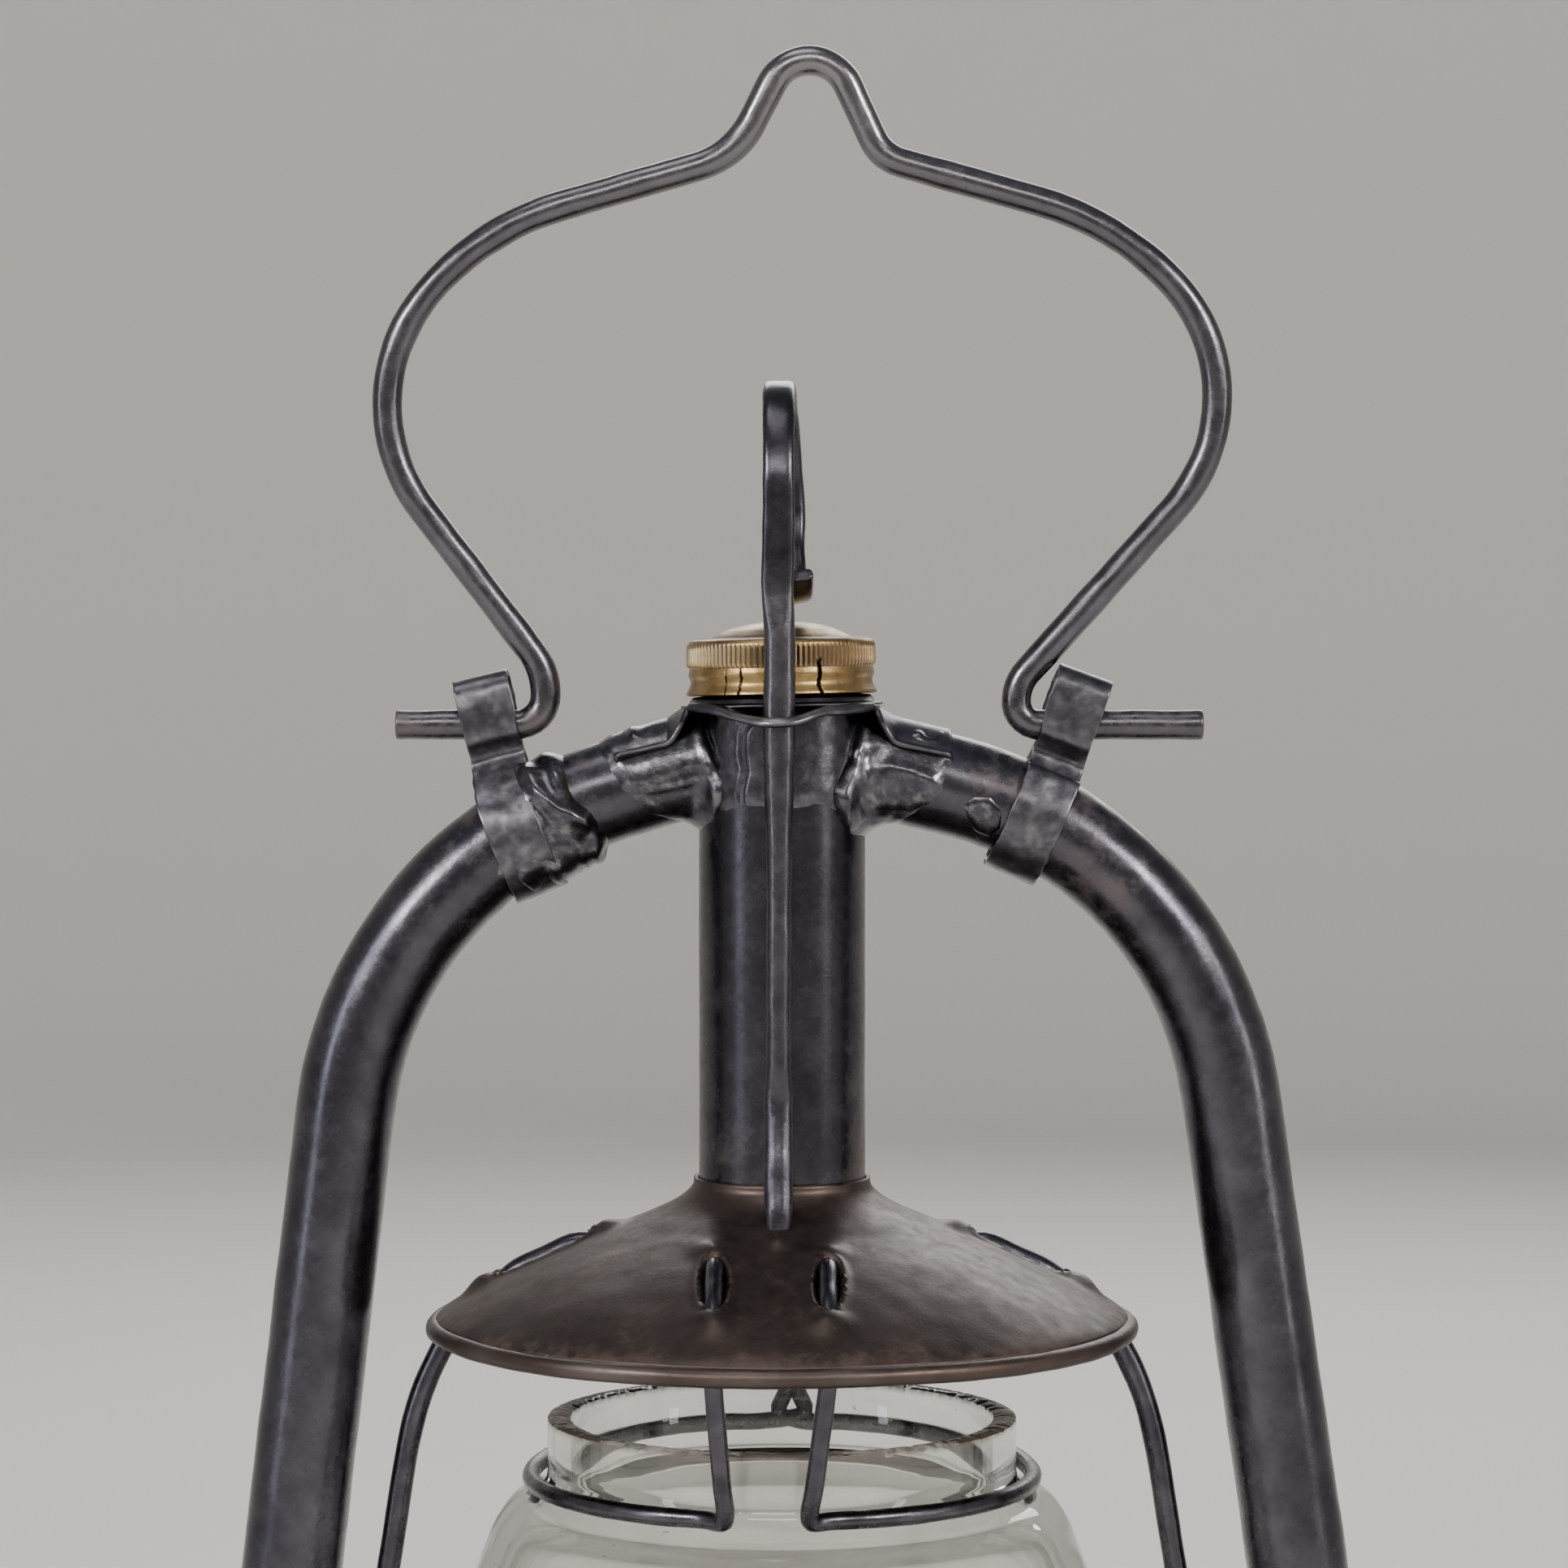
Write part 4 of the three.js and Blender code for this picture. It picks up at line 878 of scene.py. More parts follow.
# %% [markdown]
# ## Neck and brass cap
# The filling neck and its screw cap lean a little to the left, because the neck was soldered by eye.
# The cap is pressed from thin brass: a wavy skirt, a knurled band to grip, and a domed top.
# Its outline is spun in many steps, so that the knurls are real ridges, and three cracks are
# pushed in where the brass has split with age.

# %% Neck and cap
CAP_TILT = math.radians(1.2)
KNURLS = 112
LEAN_AT = Vector((0, 0, CENTRE_TOP + GAP))


def lean(bm):
    bmesh.ops.rotate(bm, verts=bm.verts, cent=LEAN_AT, matrix=Matrix.Rotation(-CAP_TILT, 3, "Y"))


bm = spin(outline([
    (9.6, 307), (9.6, 323), (10.6, 323), (10.6, 317), (13.3, 316.65), (13.7, 316.3), (14.0, 315.7),
    (15.2, 315.45), (15.2, 315.1), (10.6, 315.1), (10.6, 307),
], 0.12), 128, closed=True)
lean(bm)
piece(bm, "filling_neck", strip_steel, ["cap_neck"], wear_and_light_marks=lambda p: (0.25, 0.0, 0.3))

bm = spin(outline([(11.3, 323.3), (11.3, 324.2), (5, 324.2), (5, 323.3)], 0.1), 64, closed=True)
lean(bm)
piece(bm, "cap_seal", leather, ["cap_washer"])

CAP_LINE = [
    (13.5, 0, 316.9), (14.3, 0, 316.92), (14.38, 0, 317.15), (14.1, 0, 317.7), (13.72, 0, 318.5),
    (13.68, 0, 319.1), (13.95, 0, 319.9), (13.88, 0, 320.5), (13.78, 0, 320.9), (14.02, 0, 321.15),
    (14.2, 0, 321.5), (14.22, 0, 322.6), (14.2, 0, 323.8), (14.12, 0, 324.4), (13.75, 0, 324.95),
    (13.1, 0, 325.2), (11.6, 0, 325.25), (10.8, 0, 325.35), (9.8, 0, 325.85), (7.8, 0, 326.75),
    (5, 0, 327.45), (2.4, 0, 327.75), (0.001, 0, 327.8),
]
CRACKS = [(-0.63, 0.10, 320.6), (-0.455, 0.16, 320.8), (0.42, 0.34, 322.4)]


def crack_line(z, at, seed):
    """The angle of a crack at height z: a jagged line about its own angle."""
    coarse, fine = noise.noise(Vector((seed, z * 0.8, 0))), noise.noise(Vector((seed, z * 2.3, 5)))
    return at + 0.022 * coarse + 0.012 * fine


bm = spin(spaced(flowing(CAP_LINE, 6), 0.24), KNURLS * 6)
for v in bm.verts:
    reach = math.hypot(v.co.x, v.co.y)
    if reach < 12.5:
        continue
    angle = math.atan2(v.co.x, -v.co.y)
    band = smoothstep(v.co.z, 320.95, 321.35) * (1 - smoothstep(v.co.z, 323.9, 324.5))
    inward = 0.26 * band * (0.5 + 0.5 * math.cos(KNURLS * angle)) ** 0.7
    for index, (at, wide, top) in enumerate(CRACKS):
        gap = abs(angle - crack_line(v.co.z, at, index * 3.7)) * reach
        closing = 1 - smoothstep(v.co.z, top - 1.2, top)
        inward += 0.55 * closing * (1 - smoothstep(gap, wide * 0.35, wide))
    v.co.x *= 1 - inward / reach
    v.co.y *= 1 - inward / reach
uneven(bm, 0.045, 4.5, seed=3)


def cap_wear(p):
    reach = math.hypot(p[0], p[1])
    angle = math.atan2(p[0], -p[1])
    band = smoothstep(p[2], 321.0, 321.4) * (1 - smoothstep(p[2], 324.0, 324.5))
    valley = band * (0.5 + 0.5 * math.cos(KNURLS * angle))
    dark = max(
        (1 - smoothstep(abs(angle - crack_line(p[2], at, i * 3.7)) * reach, wide * 0.4, wide)) * (p[2] < top)
        for i, (at, wide, top) in enumerate(CRACKS)
    ) if reach > 12.5 else 0.0
    hollow = 1 - smoothstep(abs(p[2] - 325.3), 0.1, 0.6) if 9.5 < reach < 13.4 else 0.0
    return (0.5 * valley + 0.8 * hollow + 0.25, 0.5 * band * (1 - valley) ** 2, dark)


lean(bm)
piece(bm, "screw_cap", cap_brass, ["brass_cap"], wear_and_light_marks=cap_wear, wall=0.7)

# %% [markdown]
# ## Bail and its straps
# The bail is one length of 4.5 mm iron wire, bent cold over a form, and its two halves never came out
# quite alike. Each ear strap is a strip of sheet folded over the wire, pinched under it, and wrapped
# round the tube. The strip starts as the fold's outline seen along the tube, is extruded to its
# width, and is then turned to the two leans it has on the lamp.

# %% Bail
BAIL_RADIUS = 2.25
PIVOT_Z = 312.3
BAIL_CORNERS = [
    (-58, 0, PIVOT_Z, 0), (-35.5, 0, PIVOT_Z, 4.4), (-35.5, 0, 320.6, 11), (-66.4, 0, 361, 25.8),
    (-45.2, 0, 386.6, 41), (-7.1, 0, 397.5, 13), (4.4, 0, 420, 6.4), (14.9, 0, 397.3, 7),
    (49.9, 0, 387.6, 43.8), (74.5, 0, 362.2, 25.1), (35.2, 0, 318.4, 6.5), (35.2, 0, PIVOT_Z, 3.4),
    (63.2, 0, PIVOT_Z, 0),
]


WIRE_DENT = 0.035


def wire_section(radius, seed):
    """A round wire whose width changes a little along its length, as hand tools leave it."""
    def section(distance):
        swell = radius * WIRE_DENT * wobble((distance, seed, 0), 9)
        flat = radius * WIRE_DENT * wobble((distance, seed + 4, 0), 5)
        return radius + swell + flat, radius + swell - flat, 2.0
    return section


bm = sweep(spaced(bent(BAIL_CORNERS, 4), 0.9), wire_section(BAIL_RADIUS, 2), sides=28, tip=0.35)
uneven(bm, 0.05, 5.5, seed=9)


def bail_wear(p):
    ends = smoothstep(abs(p[0]), 20, 34) * (1 - smoothstep(p[2], 313, 330))
    return (0.30 * ends + 0.05, 0.22 * smoothstep(p[2], 385, 410) + 0.1, 0.1 * ends)


piece(bm, "bail_wire", wire_steel, ["bail"], wear_and_light_marks=bail_wear)

# %% Ear straps
STRAP_WIDTH = 8.5
LEFT_STRAP = dict(side=-1, x=39.5, z=295.9, reach=24.6, wire_up=16.9, lean=14, wrap_lean=22)
RIGHT_STRAP = dict(side=1, x=37.9, z=298.6, reach=23.0, wire_up=14.1, lean=20, wrap_lean=24)


def strap_outline(reach, wire_up):
    """Half of the strap's outer face seen along the tube: round the tube, in to the pinch, over the wire."""
    round_tube = TUBE_RADIUS + GAP + SHEET + 0.1
    wrap = [(round_tube * math.sin(math.radians(a)), -(round_tube + 1.0) * math.cos(math.radians(a)))
            for a in (4, 20, 40, 60, 80, 100, 120, 138)]
    slot = BAIL_RADIUS + GAP + SHEET + 0.15
    crown = reach - slot
    fold = [
        (slot * math.cos(math.radians(a)), crown + slot * math.sin(math.radians(a)))
        for a in (0, 30, 60, 90)
    ]
    return wrap + [(3.3, wire_up - 7.4), (1.9, wire_up - 5.9), (1.45, wire_up - 4.6), (2.1, wire_up - 3.2),
                   (slot - 0.3, wire_up - 1.8), (slot, wire_up - 0.4)] + fold


def ear_strap(name, strap, node_name, seed):
    side = strap["side"]
    half = strap_outline(strap["reach"], strap["wire_up"])
    whole = half + [(-out, up) for out, up in half[-2::-1]]
    chain = spaced(flowing([(0, out, up) for out, up in whole], 6), 0.42)
    bm = bmesh.new()
    verts = [bm.verts.new(p - Vector((STRAP_WIDTH / 2, 0, 0))) for p in chain]
    edges = [bm.edges.new(pair) for pair in zip(verts, verts[1:])]
    steps = 22
    for _ in range(steps):
        ring, edges = pull(bm, edges)
        bmesh.ops.translate(bm, verts=ring, vec=(STRAP_WIDTH / steps, 0, 0))
    bmesh.ops.recalc_face_normals(bm, faces=bm.faces)
    for v in bm.verts:
        along, out, up = v.co
        narrow = 1.0 - 0.05 * smoothstep(10 - up, 0, 8) + 0.03 * wobble((0, out, up), 5, seed)
        if along < 0:
            narrow -= 0.13 * math.exp(-(((up - strap["wire_up"] + 2.2) / 3) ** 2))
        along *= narrow
        along += 0.12 * wobble((along, out, up), 1.4, seed + 3) * smoothstep(abs(along), 3.0, 4.2)
        bulge = 0.14 * wobble((along, out, up), 3.1, seed) + 0.22 * wobble((along, out, up), 7.5, seed + 1)
        out += math.copysign(1, out) * min(abs(out), 1.0) * bulge
        angle = math.radians(
            strap["wrap_lean"] + (strap["lean"] - strap["wrap_lean"]) * smoothstep(up, 2, 14),
        )
        v.co = (
            side * (strap["x"] + up * math.sin(angle) + along * math.cos(angle)), out,
            strap["z"] + up * math.cos(angle) - along * math.sin(angle),
        )

    # The third number is a dark band where the strap pinches in above the tube: painted shade in that
    # crease.
    def wear_and_light_marks(p):
        rub = 0.35 * max(0.0, wobble(p, 1.5, seed)) + 0.15 * max(0.0, wobble(p, 0.5, seed))
        return (0.05, rub, 0.25 * (1 - smoothstep(abs(p[2] - (strap["z"] + 9)), 0.4, 1.8)))

    made = piece(bm, name, strip_steel, [node_name], wear_and_light_marks=wear_and_light_marks, wall=SHEET, sharp=50)
    rounding = made.modifiers.new("edge", "BEVEL")
    rounding.width = 0.16 * MM
    rounding.segments = 2
    rounding.limit_method = "ANGLE"
    rounding.angle_limit = math.radians(55)


ear_strap("ear_strap_sheet_left", LEFT_STRAP, "ear_strap_left", 3)
ear_strap("ear_strap_sheet_right", RIGHT_STRAP, "ear_strap_right", 8)

# %% [markdown]
# ## Lift rod and finger ring
# The rod is round wire. Above the cap it was heated, flattened to a strip and bent back over into a
# ring for one finger. One sweep makes both: its section goes from round to a flat oblong.

# %% Lift rod
RING_TOP = 363.9
RING_TALL = 15.55
RING_DEEP = 14.5
RING_TURN = 308


def lift_rod_line():
    foot = bent([
        (ROD_X, -20, 233.5, 0), (ROD_X, -20, 241, 8), (ROD_X, ROD_Y, 256, 20),
        (ROD_X + 0.15, ROD_Y, 326, 30), (ROD_X - 0.2, ROD_Y, 333, 20), (ROD_X, ROD_Y, 341, 0),
    ], 4)
    ring = []
    for angle in range(0, RING_TURN + 1, 4):
        turn = math.radians(angle)
        ring.append(Vector((
            ROD_X + 3.3 * smoothstep(angle, 60, RING_TURN), ROD_Y + RING_DEEP * (1 - math.cos(turn)),
            RING_TOP - 1.4 - RING_TALL + RING_TALL * math.sin(turn),
        )))
    return spaced(foot[:-1] + flowing([foot[-1]] + ring, 2), 0.7)


ROD_LENGTH_TO_RING = 98.0


def lift_rod_section(distance):
    """Half across, half deep and squareness: the strip's wide face is turned to the front."""
    flat = smoothstep(distance, ROD_LENGTH_TO_RING - 6, ROD_LENGTH_TO_RING + 2)
    thick = smoothstep(distance, 55, 78) * (1 - flat)
    press = 0.25 * smoothstep(distance, 3, 9) * (1 - smoothstep(distance, 24, 30))
    wide = 1.90 + 0.44 * thick + 0.46 * flat + press + 0.09 * wobble((distance, 3, 0), 6)
    deep = 1.86 + 0.10 * thick - 0.62 * flat - press + 0.07 * wobble((distance, 8, 0), 5)
    end = 1 - 0.25 * smoothstep(distance, ROD_LENGTH_TO_RING + 64, ROD_LENGTH_TO_RING + 72)
    return wide * end, deep * end, 2.0 + 1.8 * flat


bm = sweep(lift_rod_line(), lift_rod_section, sides=32, tip=0.3)
uneven(bm, 0.07, 3.4, seed=6)


def rod_wear(p):
    forged = smoothstep(p[2], 330, 338)
    foot = 1 - smoothstep(p[2], 240, 252)
    handled = smoothstep(p[2], 256, 270) * (1 - forged)
    return (0.16 * forged + 0.3 * foot, 0.08 * handled, 0.3 * forged)


piece(bm, "lift_rod_wire", wire_steel, ["lift_rod"], wear_and_light_marks=rod_wear)

# %% [markdown]
# ## Hood
# The hood was spun from one disc of sheet over a wooden form. To hold the cage, two slits were cut for
# each wire and the strip between them pushed in, so the wire shows in a lens-shaped opening with a
# small bump of sheet at each end. The heat of the flame turned it brown.
# The outline is spun and the bumps and openings are then pressed into the surface.

# %% Hood
BRIDGE_INNER = 28.0
BRIDGE_OUTER = 43.0
GUARD_WIRE = 1.75
NECK_WIRE = 1.35
RIM_RADIUS = 52.2
RIM_Z = 222.0


def hood_height(radius):
    return float(np.interp(radius, [r for r, _ in HOOD_LINE], [z for _, z in HOOD_LINE]))


def press(along, across, wire, inner, outer, half):
    """The pressing round one wire at a distance along it and across it."""
    middle, reach = (inner + outer) / 2, (outer - inner) / 2
    high = 0.0
    for end in (inner - 1.6, outer + 1.9):
        window = math.exp(-(((along - end) / 2.7) ** 2))
        high += (0.62 * wire + 0.35) * window * math.exp(-((across / (wire + 1.1)) ** 2))
    lens = 1 - ((along - middle) / reach) ** 2
    if lens > 0:
        open_here = half * math.sqrt(lens) - abs(across)
        high -= (0.8 * wire + 0.25) * smoothstep(open_here, -0.35, 0.9)
        high += 0.4 * smoothstep(open_here, -1.8, -0.4) * (1 - smoothstep(open_here, -0.4, 0.2))
    return high


def hood_press(p):
    reach = math.hypot(p[0], p[1])
    high = 0.0
    if abs(p[1]) < 9:
        high += press(abs(p[0]), p[1], GUARD_WIRE, BRIDGE_INNER, BRIDGE_OUTER, 2.7)
    if p[1] < 0:
        for x in (-9.7, 6.6):
            if abs(p[0] - x) < 9:
                high += press(reach, p[0] - x, NECK_WIRE, BRIDGE_INNER + 0.6, BRIDGE_OUTER - 1.2, 1.95)
        foot = math.hypot(p[0] - ROD_X, p[1] + 20.2)
        high += (
            0.9 * math.exp(-((foot / 3.2) ** 2))
            + 0.7 * math.exp(-((math.hypot(p[0] - ROD_X, p[1] + 24) / 1.6) ** 2))
        )
    return high


hood_curve = flowing([(r, 0, z) for r, z in HOOD_LINE], 10)
bm = spin(spaced(hood_curve, 0.52), 400)
for v in bm.verts:
    ripple = 0.16 * wobble((3 * math.atan2(v.co.y, v.co.x), 0, 0), 1.0, 4) * smoothstep(v.co.z, 241, 244)
    v.co.z += ripple
uneven(bm, 0.16, 11, seed=5)
raise_surface(bm, hood_press)


def hood_wear(p):
    reach = math.hypot(p[0], p[1])
    crease = smoothstep(reach, 48, 51.5)
    near = max(
        math.exp(-(((abs(p[0]) - 43) ** 2 + p[1] ** 2) / 22)),
        math.exp(-(((reach - 43) ** 2 + (abs(p[0] + 1.5) - 8) ** 2) / 20)),
    )
    return (0.12 + 0.15 * crease + 0.1 * near, 0.0, 0.1)


piece(bm, "hood_sheet", hood_steel, ["hood"], wear_and_light_marks=hood_wear, wall=0.7, sharp=60)


def loop_of_wire(name, radius, z, wire, material, node_name, seed, wear_and_light_marks):
    """A closed ring of wire: a circle of vertices spun about the axis."""
    bm = bmesh.new()
    ring = bmesh.ops.create_circle(bm, segments=22, radius=wire)["verts"]
    turn = Matrix.Rotation(math.pi / 2, 4, "X")
    bmesh.ops.transform(bm, matrix=Matrix.Translation((radius, 0, z)) @ turn, verts=ring)
    bmesh.ops.spin(
        bm, geom=list(bm.verts) + list(bm.edges), cent=(0, 0, 0), axis=(0, 0, 1), angle=math.tau, steps=300,
        use_merge=True, use_duplicate=False,
    )
    bmesh.ops.remove_doubles(bm, verts=bm.verts, dist=0.002)
    uneven(bm, 0.07, 6, seed=seed)
    for v in bm.verts:
        v.co.z += 0.22 * wobble((2 * math.atan2(v.co.y, v.co.x), seed, 0), 1.0)
    return piece(bm, name, material, [node_name], wear_and_light_marks=wear_and_light_marks)


# The rim's polish number is set on the front half only: a painted highlight along the front of the rim.
loop_of_wire(
    "hood_rolled_rim", RIM_RADIUS, RIM_Z, 1.38, hood_steel, "hood_rim", 3,
    lambda p: (0.12, 0.22 * max(0.0, wobble(p, 14, 2)) * (p[1] < 0), 0.0),
)

# %% [markdown]
# ## Cage wires
# Two thick wires guard the globe at the sides, and two thin ones come down in front, half round the
# globe's neck and up again at the back, where they cross. Each is threaded through the hood.
# They follow flowing lines through a few points, swept as round wire.

# %% Cage wires
def threaded(wire, lift):
    """[distance from axis, height] of a wire that goes through the hood's bridge to the rim."""
    slope = 1 / math.cos(math.radians(24))
    over = [(r, hood_height(r) + lift * slope) for r in (BRIDGE_INNER + 2.5, 35.5, BRIDGE_OUTER - 3)]
    under = [
        (r, hood_height(r) - (SHEET + wire + 0.2) * slope) for r in (BRIDGE_INNER - 5, BRIDGE_INNER - 2.5)
    ]
    last = (BRIDGE_OUTER + 2.5, hood_height(BRIDGE_OUTER + 2.5) - (SHEET + wire + 0.1) * slope)
    return under + over + [last, (RIM_RADIUS - 1.38 - wire - 0.5, RIM_Z + 0.4)]


def wire_wear(p):
    return (0.12 * max(0.0, wobble(p, 8, 1)), 0.1 * max(0.0, wobble(p, 3, 6)), 0.0)


GUARD_LINE = [(52.2, 216.6), (55.3, 208.5), (58.7, 189.5), (61.4, 170), (62, 150), (60.2, 126), (55.6, 103),
              (50.6, 88), (49.5, 77)]
for side, word in ((-1, "left"), (1, "right")):
    stations = threaded(GUARD_WIRE, -0.4) + GUARD_LINE
    line = spaced(flowing([(side * r, 0, z) for r, z in stations], 10), 1.1)
    bm = sweep(line, wire_section(GUARD_WIRE, 5 * side), sides=24)
    uneven(bm, 0.05, 6, seed=side)
    piece(bm, f"guard_wire_iron_{word}", wire_steel, [f"guard_wire_{word}"], wear_and_light_marks=wire_wear)

NECK_RING_RADIUS = 37.8
NECK_RING_Z = 199.3


def neck_line(side):
    x, tip, begin, back = (-9.7, -8.0, 17, 2.6) if side < 0 else (6.6, 3.9, 11, 0.6)
    drop_points = [(x, -math.sqrt(r * r - x * x), z) for r, z in threaded(NECK_WIRE, -0.15)]
    drop_points += [(x + (tip - x) * 0.35, -46.2, 214), (x + (tip - x) * 0.75, -42.6, 205),
                    (tip, -40.0, 200.6), (tip + side * 0.3, -39.0, 199.5)]
    ring = []
    for k in range(15):
        angle = math.radians(begin + (176 - begin) * k / 14)
        rise = 1.9 * smoothstep(angle, 1.4, 2.9)
        across, forward = side * NECK_RING_RADIUS * math.sin(angle), -NECK_RING_RADIUS * math.cos(angle)
        ring.append((across, forward, NECK_RING_Z + rise))
    rear = [
        (back - side * 1.2, 37.7, 202.6), (back, 37.2, 206), (back + side * 0.5, 36, 214),
        (back, 30.5, 229.2),
    ]
    return spaced(flowing(drop_points + ring + rear, 8), 0.8)


for side, word in ((-1, "left"), (1, "right")):
    bm = sweep(neck_line(side), wire_section(NECK_WIRE, 7 * side), sides=20)
    uneven(bm, 0.04, 4, seed=3 * side)
    piece(bm, f"neck_wire_iron_{word}", wire_steel, [f"neck_wire_{word}"], wear_and_light_marks=wire_wear)

loop_of_wire("cage_hoop_iron", 58.85, 150, 1.1, wire_steel, "cage_hoop", 7, wire_wear)
loop_of_wire("cage_base_ring_iron", 46, 78, 1.3, wire_steel, "cage_base_ring", 9, wire_wear)


def solder_bead(name, x, y, z, size, body, seed):
    """A frozen bead of solder that holds two wires: a ball, stretched and dimpled."""
    bm = bmesh.new()
    bmesh.ops.create_icosphere(bm, subdivisions=4, radius=1.0)
    bmesh.ops.scale(bm, vec=size, verts=bm.verts)
    bmesh.ops.translate(bm, verts=bm.verts, vec=(x, y, z))
    uneven(bm, 0.16 * min(size), 1.6, seed=seed)
    piece(bm, name, solder, body=body, wear_and_light_marks=lambda p: (0.1, 0.2, 0.1), sharp=80)


for side, word in ((-1, "left"), (1, "right")):
    solder_bead(f"hoop_bead_{word}", side * 60.1, 0, 150, (2.1, 2.6, 2.2), "globe_lift", side)
    solder_bead(f"foot_bead_{word}", side * 48.0, 0, 78.2, (2.3, 2.4, 2.1), "globe_lift", 2 * side)

# %% [markdown]
# ## Globe
# The globe is blown in a mould and its ends are cracked off, not ground, so the top edge is chipped and
# dark with dirt. Its wall is real, about 3 mm, and light bends through it.
# One closed outline, outside and inside, is spun round the axis.

# %% Globe
GLOBE_TOP = 208.2
GLOBE_BOTTOM = 77.6
globe_outside = [(41, 77.6), (46.4, 92), (51.4, 112), (54, 135), (53.6, 155), (50.6, 172), (44.6, 189.2),
                 (42.8, 193.2), (40.4, 196.1), (37.2, 197.6), (35.7, 198.7), (35.3, 200.4), (35.3, 204.5),
                 (35.3, 208.2)]
globe_inside = [(31.9, 208.2), (31.9, 203.5), (32.1, 199.4), (34.4, 195.8), (39.2, 192.0), (41.4, 187.4),
                (47.4, 171), (50.4, 154.4), (50.8, 135.4), (48.3, 112.9), (43.4, 93.4), (38, 77.6)]
outer = spaced(flowing([(r, 0, z) for r, z in globe_outside], 8), 1.1)
inner = spaced(flowing([(r, 0, z) for r, z in globe_inside], 8), 1.1)
across_top = [
    outer[-1].lerp(inner[0], t) + Vector((0, 0, 0.35 * math.sin(math.pi * t)))
    for t in (0.12, 0.35, 0.65, 0.88)
]
across_foot = [inner[-1].lerp(outer[0], t) for t in (0.1, 0.5, 0.9)]
bm = spin(outer + across_top + inner + across_foot, 360, closed=True)
for v in bm.verts:
    angle = math.atan2(v.co.y, v.co.x)
    top = smoothstep(v.co.z, GLOBE_TOP - 2.0, GLOBE_TOP)
    chips = (
        max(0.0, wobble((34 * angle, 0, 0), 1.4, 3))
        + 0.6 * max(0.0, wobble((34 * angle, v.co.y, 0), 0.6, 9))
    )
    v.co.z -= top * (0.10 + 0.75 * chips**2)
    sway = 1 + 0.0035 * wobble((2 * angle, 0, v.co.z / 30), 1.0, 2)
    v.co.x *= sway
    v.co.y *= sway


def globe_wear(p):
    reach = math.hypot(p[0], p[1])
    edge = smoothstep(p[2], GLOBE_TOP - 0.75, GLOBE_TOP - 0.45)
    foot = 1 - smoothstep(p[2], GLOBE_BOTTOM, GLOBE_BOTTOM + 1)
    chipped = edge * (0.55 + 0.45 * wobble(p, 0.9, 4)) * (reach > 31.5)
    return (min(1.0, max(chipped, 0.8 * foot)), 0.0, 0.0)


piece(bm, "globe_blown", globe_glass, ["globe"], wear_and_light_marks=globe_wear, sharp=60)

# %% [markdown]
# ## Globe plate, burner and wick
# Under the globe a dished plate with a ring of holes lets air up to the flame. The burner is brass: a
# cup in the tank's collar, a flat wick tube, and a domed cone with a slot that the flame stands in.
# A shaft with two toothed wheels lifts the wick, and its scalloped knob stands out in front.
# Round parts are spun, and a slot is opened by cutting the mesh along planes and deleting the middle.

# %% Globe plate
PLATE_HOLES = 12
PLATE_HOLE = 2.6
PLATE_HOLE_AT = 29
bm = spin(outline([
    (21, 74.3), (42.6, 74.3), (44.4, 75.4), (44.4, 80.4), (43.6, 80.4), (43.6, 76), (42.2, 75.1),
    (38.2, 75.1), (37.4, 76.9), (36.4, 76.9), (36.4, 75.1), (21, 75.1),
], 0.18), 144, closed=True)
for k in range(PLATE_HOLES):
    angle = math.tau * (k + 0.5) / PLATE_HOLES
    hole = Vector((PLATE_HOLE_AT * math.cos(angle), PLATE_HOLE_AT * math.sin(angle), 0))
    nearest_faces = [f for f in bm.faces if (f.calc_center_median().xy - hole.xy).length < 4.5]
    bmesh.ops.subdivide_edges(
        bm, edges=list({e for f in nearest_faces for e in f.edges}), cuts=2, use_grid_fill=True,
    )
    gone = [f for f in bm.faces if (f.calc_center_median().xy - hole.xy).length < PLATE_HOLE]
    bmesh.ops.delete(bm, geom=gone, context="FACES")
    for v in bm.verts:
        away = v.co.xy - hole.xy
        if v.is_boundary and 1.5 < away.length < 4:
            away = away.normalized() * PLATE_HOLE
            v.co.x, v.co.y = hole.x + away.x, hole.y + away.y
    bmesh.ops.bridge_loops(bm, edges=[e for e in bm.edges if e.is_boundary])
piece(bm, "globe_plate_sheet", hood_steel, ["globe_plate"], wear_and_light_marks=lambda p: (0.2, 0.0, 0.1), sharp=35)


# %% Burner
WICK_HOLE = 6.9
bm = spin(outline([
    (WICK_HOLE, 54), (9, 54), (9, 46), (18.6, 46), (18.6, 51.6), (22, 51.6), (22, 52.3), (15.2, 52.3),
    (15.2, 58), (WICK_HOLE, 58),
], 0.2), 96, closed=True)
piece(bm, "burner_cup", cap_brass, ["burner_base"], wear_and_light_marks=lambda p: (0.5, 0, 0.2))

bm = spin(
    outline([(24.7, 47), (24.7, 50.3), (27.7, 50.3), (27.7, 51.3), (19, 51.3), (19, 47)], 0.2), 112,
    closed=True,
)
piece(bm, "burner_seat", cap_brass, ["burner_collar"], wear_and_light_marks=lambda p: (0.5, 0, 0.2))

SHAFT_X = -4.6
SHAFT_Z = 63.0
SLOT_X = 2.3
SLOT_Y = 7.75
LEG_LINE = [(14.0, 58.6), (15.6, 61.5), (17.3, 64.8), (19.0, 68.2)]
bm = sweep(
    [Vector((0, 0, z)) for z in (67.2, 70, 73, 76, 80)], lambda d: (1.7, 7.4, 6.0), sides=48, tip=None,
)
for v in bm.verts:
    if abs(v.co.x) > 3:
        v.co.x, v.co.y = v.co.y, v.co.x
piece(bm, "wick_tube_sheet", cap_brass, ["wick_tube"], wear_and_light_marks=lambda p: (0.6, 0, 0.3), wall=0.5)

